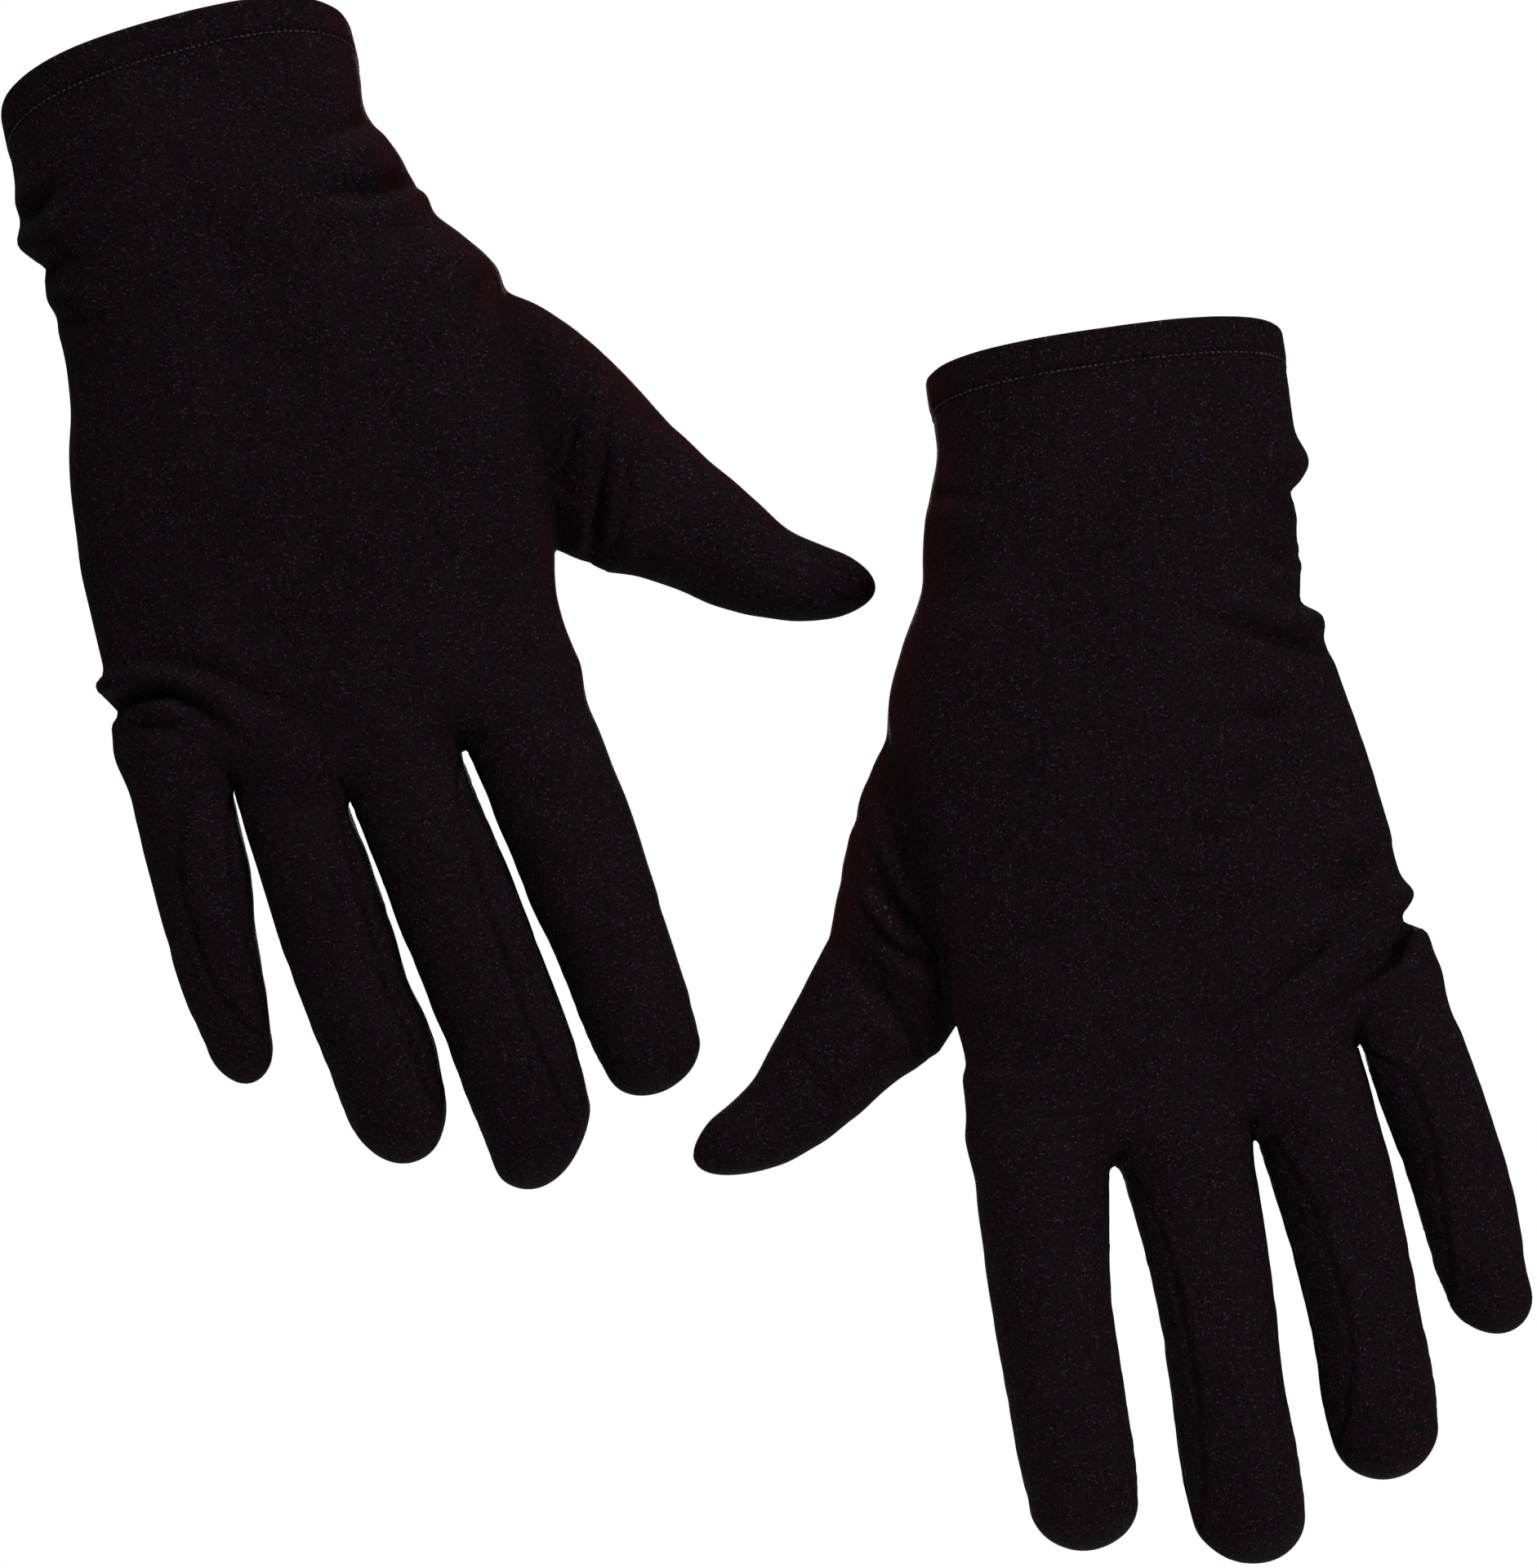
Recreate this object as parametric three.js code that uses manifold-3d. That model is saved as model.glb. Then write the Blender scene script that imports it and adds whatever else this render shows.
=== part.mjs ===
// A pair of wrist-length stretch-knit gloves in their worn shape, fingers down.
//
// Frame: millimetres, +Z up, the backs of the hands face -Y and the palms face +Y.
// The origin is the centre of the right glove's wrist opening.
//
// Each glove is laid out in its own coordinates:
//   u  across the hand, towards the thumb
//   t  down the hand, from the wrist opening to the fingertips
//   n  through the hand, from the back to the palm

import * as THREE from 'three';
import { mergeVertices } from 'three/addons/utils/BufferGeometryUtils.js';
import Module from 'manifold-3d';

const wasm = await Module();
wasm.setup();

// ---- Fabric ----
const layer = 0.8;              // one layer of knit, with the loft of its surface
const seamGap = 0.3;            // between two pieces that are sewn edge to edge
const hemDepth = 6.5;           // width of the turned hem
const stitchDistance = 5.9;     // hem edge to the line of stitches
const threadThickness = 0.5;

// ---- Hand, the same on both gloves ----
const cuffWidth = 66;
const cuffThickness = 37;
const wristWidth = 71;
const wristThickness = 37;
const palmWidth = 90;
const palmThickness = 34;
const palmShift = 4;            // the palm bulges towards the thumb
const knuckleWidth = 85;
const knuckleThickness = 25;
const wristHingeAt = 30;        // from the wrist opening down to the wrist's bend
const palmAt = 78;              // from the wrist opening down to the widest place

// ---- Fingers: length from the web to the tip, width, thickness ----
const FINGERS = {
  index: { length: 70.5, width: 21.5, thickness: 18 },
  middle: { length: 79, width: 21.5, thickness: 18.5 },
  ring: { length: 73.5, width: 19.5, thickness: 17.5 },
  little: { length: 57, width: 16.5, thickness: 15.5 },
};
const fingerHingeAt = 12;       // from the web down the finger to its bend
const fingerTaper = 0.1;        // share of the width lost from web to tip
const fingerCurl = 7;           // how far a worn fingertip leans to the palm
const fourchetteWidth = 8.5;
const fourchetteStopsShort = 13;   // from the fingertip back to the strip's point

// ---- Thumb ----
const thumbLength = 50;         // from its bend to the tip
const thumbBaseWidth = 29;
const thumbTipWidth = 17;
const thumbThickness = 20;
const thumbRootWidth = 44;
const thumbRootThickness = 26;
const thumbRootBack = 36;       // from the bend back into the hand
const thumbLift = 9;            // the thumb stands this far to the palm side

// ---- Bends, in degrees, with the clearance cut for them ----
const wristBend = 35;
const fingerFlex = 80;
const fingerExtend = 10;
const thumbFlex = 45;
const thumbExtend = 10;
const hingeToPalm = 2.5;        // the finger's bend lies a little to the palm side

// ---- How each glove is worn ----
// web: distance down the hand to each finger's web. turn: degrees towards the thumb.
// gaps: free space between neighbouring finger roots, index to little.
const GLOVES = [
  {
    name: 'right',
    thumbSide: 1,
    wristCentre: [0, 0, 0],
    lean: 15.4,
    rimRise: 9.5,
    middleAt: 4.5,
    gaps: { index: 2.8, ring: 0.8, little: 0.8 },
    web: { index: 134, middle: 136, ring: 131.5, little: 126 },
    turn: { index: 6.9, middle: 6.6, ring: 3.9, little: -4 },
    thumb: { across: 61, down: 98, turn: 51.5, rootTurn: 44 },
  },
  {
    name: 'left',
    thumbSide: -1,
    wristCentre: [171, 0, -52.5],
    lean: 8,
    rimRise: 5,
    middleAt: 4,
    gaps: { index: 5.7, ring: 3, little: 0.8 },
    web: { index: 147.5, middle: 145.5, ring: 138.5, little: 131.5 },
    turn: { index: 2, middle: -0.6, ring: -3.1, little: -11.7 },
    thumb: { across: 57, down: 111, turn: 54.5, rootTurn: 33 },
  },
];

// ---- Overlaps that joins and cuts need, which don't show ----
const cutOver = 3;
const stubOverlap = 16;

// ---- Fineness of the facets ----
const handSides = 20;
const limbSides = 12;
const capSteps = 6;
const handSteps = 6;
const cuffSteps = 6;

const black = { color: 0x141214, roughness: 0.92, metalness: 0 };
const threadBlack = { color: 0x2a282b, roughness: 0.7, metalness: 0 };

const radians = THREE.MathUtils.degToRad;
const lerp = THREE.MathUtils.lerp;

// ---- Solids ----

function toSolid(geometry) {
  const bare = geometry.clone();
  bare.deleteAttribute('normal');
  bare.deleteAttribute('uv');
  const merged = mergeVertices(bare, 1e-4);
  const vertProperties = new Float32Array(merged.attributes.position.array);
  const triVerts = new Uint32Array(merged.index.array);
  return new wasm.Manifold(new wasm.Mesh({ numProp: 3, vertProperties, triVerts }));
}

function toMesh(name, solid, look) {
  const { vertProperties, triVerts } = solid.getMesh();
  const geometry = new THREE.BufferGeometry();
  geometry.setAttribute('position', new THREE.BufferAttribute(new Float32Array(vertProperties), 3));
  geometry.setIndex(new THREE.BufferAttribute(new Uint32Array(triVerts), 1));
  geometry.computeVertexNormals();
  const mesh = new THREE.Mesh(geometry, new THREE.MeshStandardMaterial(look));
  mesh.name = name;
  return mesh;
}

function reshape(geometry, place) {
  const position = geometry.attributes.position;
  for (let i = 0; i < position.count; i++) {
    const point = place(position.getX(i), position.getY(i), position.getZ(i));
    position.setXYZ(i, point.x, point.y, point.z);
  }
  return geometry;
}

// A point of a rounded-rectangle section, from a point of the unit circle.
function rounded(value, squareness) {
  return Math.sign(value) * Math.abs(value) ** (2 / squareness);
}

// A closed tube. sectionAt(share, across, through) gives the point for a share of the length
// and a place in the section, where across runs to +X and through runs to the palm.
function tube(around, along, squareness, sectionAt) {
  const cylinder = new THREE.CylinderGeometry(1, 1, 1, around, along);
  return toSolid(reshape(cylinder, (x, y, z) => (
    sectionAt(0.5 - y, rounded(x, squareness), -rounded(z, squareness))
  )));
}

// ---- Coordinates of one glove ----

function at(glove, u, t, n) {
  return new THREE.Vector3(glove.thumbSide * u, n, -t);
}

// Half the gap that lets two pieces turn about a line, at a distance through the hand.
function relief(through, flex, extend) {
  const angle = through > 0 ? flex : extend;
  return seamGap / 2 + Math.abs(through) * Math.tan(radians(angle) / 2);
}

// ---- Hand ----

function smooth(share) {
  const x = THREE.MathUtils.clamp(share, 0, 1);
  return x * x * (3 - 2 * x);
}

// Half width, half thickness and sideways place of the hand at a distance down it.
function handSection(glove, down) {
  const places = [
    [0, cuffWidth, cuffThickness, 0],
    [wristHingeAt, wristWidth, wristThickness, 0],
    [palmAt, palmWidth, palmThickness, palmShift],
    [glove.web.middle, knuckleWidth, knuckleThickness, knuckleShift(glove)],
  ];
  let i = 0;
  while (i < places.length - 2 && down > places[i + 1][0]) {
    i++;
  }
  const [from, to] = [places[i], places[i + 1]];
  const share = smooth((down - from[0]) / (to[0] - from[0]));
  return {
    width: lerp(from[1], to[1], share) / 2,
    thickness: lerp(from[2], to[2], share) / 2,
    shift: lerp(from[3], to[3], share),
  };
}

// The knuckles are centred on the row of fingers.
function knuckleShift(glove) {
  const index = fingerRoot(glove, 'index').u + FINGERS.index.width / 2;
  const little = fingerRoot(glove, 'little').u - FINGERS.little.width / 2;
  return (index + little) / 2;
}

// The row of webs, as a distance down the hand for each place across it.
function webLine(glove, u) {
  const row = ['little', 'ring', 'middle', 'index'].map((name) => fingerRoot(glove, name));
  if (u <= row[0].u) {
    return row[0].t;
  }
  for (let i = 1; i < row.length; i++) {
    if (u <= row[i].u) {
      return lerp(row[i - 1].t, row[i].t, (u - row[i - 1].u) / (row[i].u - row[i - 1].u));
    }
  }
  return row[3].t;
}

function handTube(glove, inset, startAt, endAt, along) {
  return tube(handSides, along, 2.5, (share, across, through) => {
    const middle = lerp(startAt(0, 0), endAt(0, 0), share);
    const rough = handSection(glove, middle);
    const n = through * (rough.thickness - inset);
    const u = rough.shift + glove.thumbSide * across * (rough.width - inset);
    const down = lerp(startAt(u, n), endAt(u, n), share);
    const section = handSection(glove, down);
    return at(
      glove,
      section.shift + glove.thumbSide * across * (section.width - inset),
      down,
      through * (section.thickness - inset),
    );
  });
}

// The wrist opening is a flat rim that rises towards the back of the hand.
function rim(glove, down) {
  const slope = glove.rimRise / (cuffThickness / 2);
  return (u, n) => down + n * slope;
}

// ---- Fingers ----

function fingerRoot(glove, name) {
  const half = (finger) => FINGERS[finger].width / 2;
  const middle = glove.middleAt;
  const ring = middle - half('middle') - half('ring') - glove.gaps.ring;
  const across = {
    index: middle + half('middle') + half('index') + glove.gaps.index,
    middle,
    ring,
    little: ring - half('ring') - half('little') - glove.gaps.little,
  };
  return { u: across[name], t: glove.web[name] };
}

function fingerLimb(glove, name) {
  const { length, width, thickness } = FINGERS[name];
  const root = fingerRoot(glove, name);
  return {
    length,
    origin: at(glove, root.u, root.t, 0),
    turn: glove.thumbSide * radians(glove.turn[name]),
    hingeAt: fingerHingeAt,
    hingeThrough: hingeToPalm,
    flex: fingerFlex,
    extend: fingerExtend,
    width: (along) => width * (1 - fingerTaper * along / length),
    thickness: (along) => thickness * (1 - fingerTaper * along / length),
    lean: (along) => fingerCurl * (Math.max(along - fingerHingeAt, 0) / (length - fingerHingeAt)) ** 2,
    squareness: 2.2,
  };
}

function thumbLimb(glove) {
  const { across, down, turn, rootTurn } = glove.thumb;
  const rootDrift = Math.tan(radians(turn - rootTurn));
  return {
    length: thumbLength,
    origin: at(glove, across, down, thumbLift),
    turn: glove.thumbSide * radians(turn),
    hingeAt: 0,
    hingeThrough: 0,
    flex: thumbFlex,
    extend: thumbExtend,
    width: (along) => (along > 0
      ? lerp(thumbBaseWidth, thumbTipWidth, along / thumbLength)
      : lerp(thumbBaseWidth, thumbRootWidth, -along / thumbRootBack)),
    thickness: (along) => (along > 0
      ? thumbThickness
      : lerp(thumbThickness, thumbRootThickness, -along / thumbRootBack)),
    lean: (along) => (along > 0 ? 0 : thumbLift * along / thumbRootBack),
    drift: (along) => -glove.thumbSide * Math.min(along, 0) * rootDrift,
    squareness: 2.1,
  };
}

// A limb's own coordinates: along it, across it towards +X, and through it to the palm.
function limbPoint(limb, along, across, through) {
  const down = new THREE.Vector3(Math.sin(limb.turn), 0, -Math.cos(limb.turn));
  const side = new THREE.Vector3(Math.cos(limb.turn), 0, Math.sin(limb.turn));
  const drift = limb.drift ? limb.drift(along) : 0;
  return limb.origin.clone()
    .addScaledVector(down, along)
    .addScaledVector(side, across + drift)
    .add(new THREE.Vector3(0, limb.lean(along) + through, 0));
}

// The tip closes as half an ellipse as deep as the limb is wide there.
function tipShare(limb, along, inset) {
  const end = limb.length - inset;
  const depth = limb.width(end) * 0.55;
  const past = Math.max(0, (along - (end - depth)) / depth);
  return Math.sqrt(Math.max(0.02, 1 - past * past));
}

// Part of a limb between two distances, each a function of the place through the limb.
function limbTube(limb, inset, startAt, endAt, along, closedTip) {
  return tube(limbSides, along, limb.squareness, (share, across, through) => {
    const eased = closedTip ? Math.sin(share * Math.PI / 2) : share;
    const rough = lerp(startAt(0), endAt(0), eased);
    const n = through * (limb.thickness(rough) / 2 - inset);
    const reach = lerp(startAt(n), endAt(n), eased);
    const round = closedTip ? tipShare(limb, reach, inset) : 1;
    return limbPoint(
      limb,
      reach,
      across * (limb.width(reach) / 2 - inset) * round,
      through * (limb.thickness(reach) / 2 - inset) * round,
    );
  });
}

function hingeCut(limb, direction) {
  return (n) => limb.hingeAt + direction * relief(n - limb.hingeThrough, limb.flex, limb.extend);
}

// The part of a limb past its bend, as a hollow cap.
function limbCap(limb) {
  const outer = limbTube(limb, 0, hingeCut(limb, 1), () => limb.length, capSteps, true);
  const mouth = () => limb.hingeAt - layer;
  const inner = limbTube(limb, layer, mouth, () => limb.length - layer, capSteps, true);
  return outer.subtract(inner);
}

// A block that takes in one side of a limb, where a fourchette lies.
function sideBlock(limb, side, clearance) {
  const halfHeight = fourchetteWidth / 2 + clearance;
  const start = limb.hingeAt - layer;
  const end = limb.length - fourchetteStopsShort + clearance;
  const box = new THREE.BoxGeometry(1, 1, 1, 1, 1, 5);
  return toSolid(reshape(box, (x, y, z) => {
    const along = lerp(start, end, 0.5 - z);
    const half = limb.width(along) / 2;
    const across = side * half + x * half;
    return limbPoint(limb, along, across, y * 2 * halfHeight);
  }));
}

function fingerNodes(glove, name, fourchettes) {
  const limb = fingerLimb(glove, name);
  const whole = limbCap(limb);
  const nodes = [];
  let sleeve = whole;
  for (const edge of fourchettes) {
    const side = edge === 'thumb_side' ? glove.thumbSide : -glove.thumbSide;
    const strip = whole.intersect(sideBlock(limb, side, -seamGap / 2));
    sleeve = sleeve.subtract(sideBlock(limb, side, seamGap / 2));
    nodes.push(toMesh(`${glove.name}_${name}_fourchette_${edge}`, strip, black));
  }
  nodes.push(toMesh(`${glove.name}_${name}_sleeve`, sleeve, black));
  return nodes;
}

// ---- Pieces of one glove ----

// A ring of fabric round the cuff, between two distances from the rim.
function cuffBand(glove, inset, thickness, from, to) {
  const start = rim(glove, from);
  const outer = handTube(glove, inset, start, to, cuffSteps);
  const inner = handTube(
    glove,
    inset + thickness,
    (u, n) => start(u, n) - cutOver,
    (u, n) => to(u, n) + cutOver,
    cuffSteps,
  );
  return outer.subtract(inner);
}

function wristCut(direction) {
  return (u, n) => wristHingeAt + direction * relief(n, wristBend, wristBend);
}

function cuffNodes(glove) {
  const panel = cuffBand(glove, 0, layer, 0, wristCut(-1));
  const hem = cuffBand(glove, layer + seamGap, layer, 0, rim(glove, hemDepth));
  const thread = cuffBand(
    glove,
    -seamGap - threadThickness,
    threadThickness,
    stitchDistance - threadThickness / 2,
    rim(glove, stitchDistance + threadThickness / 2),
  );
  return [
    toMesh(`${glove.name}_cuff_panel`, panel, black),
    toMesh(`${glove.name}_hem_fold`, hem, black),
    toMesh(`${glove.name}_hem_stitching`, thread, threadBlack),
  ];
}

function handSolid(glove, inset, start) {
  const end = (u) => webLine(glove, u) - 1 - inset;
  return handTube(glove, inset, start, end, handSteps);
}

function fingerStub(glove, name, inset) {
  const limb = fingerLimb(glove, name);
  const end = inset > 0 ? () => limb.hingeAt + cutOver : hingeCut(limb, -1);
  return limbTube(limb, inset, () => -stubOverlap, end, 1, false);
}

function thumbStub(limb, inset) {
  const end = inset > 0 ? () => limb.hingeAt + cutOver : hingeCut(limb, -1);
  return limbTube(limb, inset, () => -thumbRootBack, end, 3, false);
}

function handNodes(glove) {
  const thumb = thumbLimb(glove);
  let outer = handSolid(glove, 0, wristCut(1));
  let inner = handSolid(glove, layer, () => wristHingeAt - cutOver);
  for (const name of Object.keys(FINGERS)) {
    outer = outer.add(fingerStub(glove, name, 0));
    inner = inner.add(fingerStub(glove, name, layer));
  }
  const trank = outer.subtract(inner).subtract(thumbStub(thumb, -seamGap));
  const thumbBase = thumbStub(thumb, 0).subtract(thumbStub(thumb, layer)).subtract(outer);
  return [
    toMesh(`${glove.name}_trank`, trank, black),
    toMesh(`${glove.name}_thumb_base`, thumbBase, black),
    toMesh(`${glove.name}_thumb`, limbCap(thumb), black),
  ];
}

function buildGlove(glove) {
  const group = new THREE.Group();
  group.position.set(...glove.wristCentre);
  group.rotation.y = -radians(glove.lean);
  group.add(...cuffNodes(glove));
  group.add(...handNodes(glove));
  group.add(...fingerNodes(glove, 'index', ['little_side']));
  group.add(...fingerNodes(glove, 'middle', ['thumb_side', 'little_side']));
  group.add(...fingerNodes(glove, 'ring', ['thumb_side', 'little_side']));
  group.add(...fingerNodes(glove, 'little', ['thumb_side']));
  return group;
}

const pair = new THREE.Group();
for (const glove of GLOVES) {
  pair.add(buildGlove(glove));
}

export default pair;
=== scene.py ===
"""A pair of short black stretch-knit gloves, filled as if worn, seen from the backs of the hands.

Each glove is made as one smooth closed surface in its own coordinates, then wrinkled, and cut
along its seams into the pieces that it is sewn from. Lengths are in millimetres until a mesh is
made, and the frame is in metres.

Glove coordinates: u across the hand towards the thumb, t from the wrist opening down to the
fingers, n from the back of the hand through to the palm. A limb, a finger or the thumb, has its
own: s along it from its root, x across it towards the thumb side, n as before.
"""

import math

import bpy
import numpy as np
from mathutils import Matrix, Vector


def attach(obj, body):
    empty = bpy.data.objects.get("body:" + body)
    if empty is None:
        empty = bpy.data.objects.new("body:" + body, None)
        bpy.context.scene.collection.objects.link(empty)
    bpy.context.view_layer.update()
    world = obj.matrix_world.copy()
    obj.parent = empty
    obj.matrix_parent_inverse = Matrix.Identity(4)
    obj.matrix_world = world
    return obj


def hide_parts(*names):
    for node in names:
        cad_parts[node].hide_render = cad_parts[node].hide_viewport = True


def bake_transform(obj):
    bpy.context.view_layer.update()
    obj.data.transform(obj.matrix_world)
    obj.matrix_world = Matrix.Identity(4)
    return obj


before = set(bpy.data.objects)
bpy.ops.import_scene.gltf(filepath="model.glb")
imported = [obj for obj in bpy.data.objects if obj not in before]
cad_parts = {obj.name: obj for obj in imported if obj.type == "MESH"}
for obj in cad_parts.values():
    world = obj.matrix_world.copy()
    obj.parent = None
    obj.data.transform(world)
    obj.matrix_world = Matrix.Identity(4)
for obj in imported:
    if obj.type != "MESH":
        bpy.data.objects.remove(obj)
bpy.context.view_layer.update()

MM = 0.001

# ---- Fineness ----
GRID = 1.0                # spacing of the surface mesh
grid = GRID

# ---- Cloth ----
CLOTH = 0.7               # thickness of the knit
RIM_ROLL = 0.8            # height of the round fold along the rim
RIM_ROLL_STEPS = 5
SEAM_DEPTH = 0.5          # how far a sewn seam pulls in
SEAM_WIDTH = 0.7          # how far to either side it does
SEAM_SHOULDER = 1.6       # the cloth is puffed this far either side of a seam
SEAM_PUFF = 0.22          # how much it is puffed there
THUMB_TUCK = 0.9          # the cloth of the thumb's root tucks in behind the hand's edge
THUMB_TUCK_WIDTH = 1.3
HEM = 6.5                 # depth of the turned hem
STITCH_LINE = 5.9         # from the hem's edge to its stitches
STITCH_PITCH = 1.15
STITCH_LENGTH = 0.85
STITCH_RADIUS = 0.24
STITCH_PULL = 0.42        # how far the row of stitches pulls the cloth in
HEM_PUFF = 0.3            # the hem stands out by the layer inside it
HEM_GAP = 0.05            # between the two layers

# ---- Hand, both gloves: distance down the hand, half thickness to the back and to the palm ----
HAND_BACK = [(-20, 18.5), (30, 18.3), (60, 17.2), (90, 15.2), (112, 12.6), (128, 10.6), (146, 9.4)]
HAND_PALM = [(-20, 18.5), (30, 18.3), (60, 18.2), (85, 17.4), (108, 14.6), (128, 11.2), (146, 9.2)]
HAND_SQUARENESS = 2.5
FINGER_SQUARENESS = 2.15
THUMB_SQUARENESS = 2.1
FINGER_BEND_AT = 12       # a finger's hinge, from its root
STUB = 16                 # how far a finger's tube runs back into the hand
STUB_NARROWS = 0.3        # so that a finger grows out of the hand without a ridge
FINGER_FLATNESS = 0.86    # thickness over width
FINGER_CURL = 7           # a fingertip leans this far towards the palm
THUMB_LIFT = 9            # the thumb stands this far to the palm side
THUMB_ROOT = 42
THUMB_LENGTH = 46.8
# The thumb's outline: distance along it, edge towards the fingers, outer edge.
THUMB_EDGES = [
    (-42, -21.0, 19.0), (-36, -20.5, 20.4), (-30, -19.6, 21.0), (-18, -17.5, 20.0), (0, -14.4, 14.6),
    (9, -13.2, 11.6), (20, -12.8, 8.0), (28, -11.7, 5.4), (35, -10.0, 5.1), (40, -7.6, 5.4),
    (46.8, -4.6, 6.0),
]
THUMB_THICKNESS = [(-36, 11), (-18, 12), (0, 10), (25, 8.6), (47, 7.0)]

# ---- Colour of the knit ----
BLACK = (0.0029, 0.0017, 0.0022)
GLINT_SIZE = 0.36         # from one bright fibre's cell to the next


def crease(depth, width, *line, fade=0.9):
    """A fold of the cloth along a line, deepest near its first point and gone after fade of it."""
    return dict(depth=depth, width=width, line=np.array(line, float), fade=fade)


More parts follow.
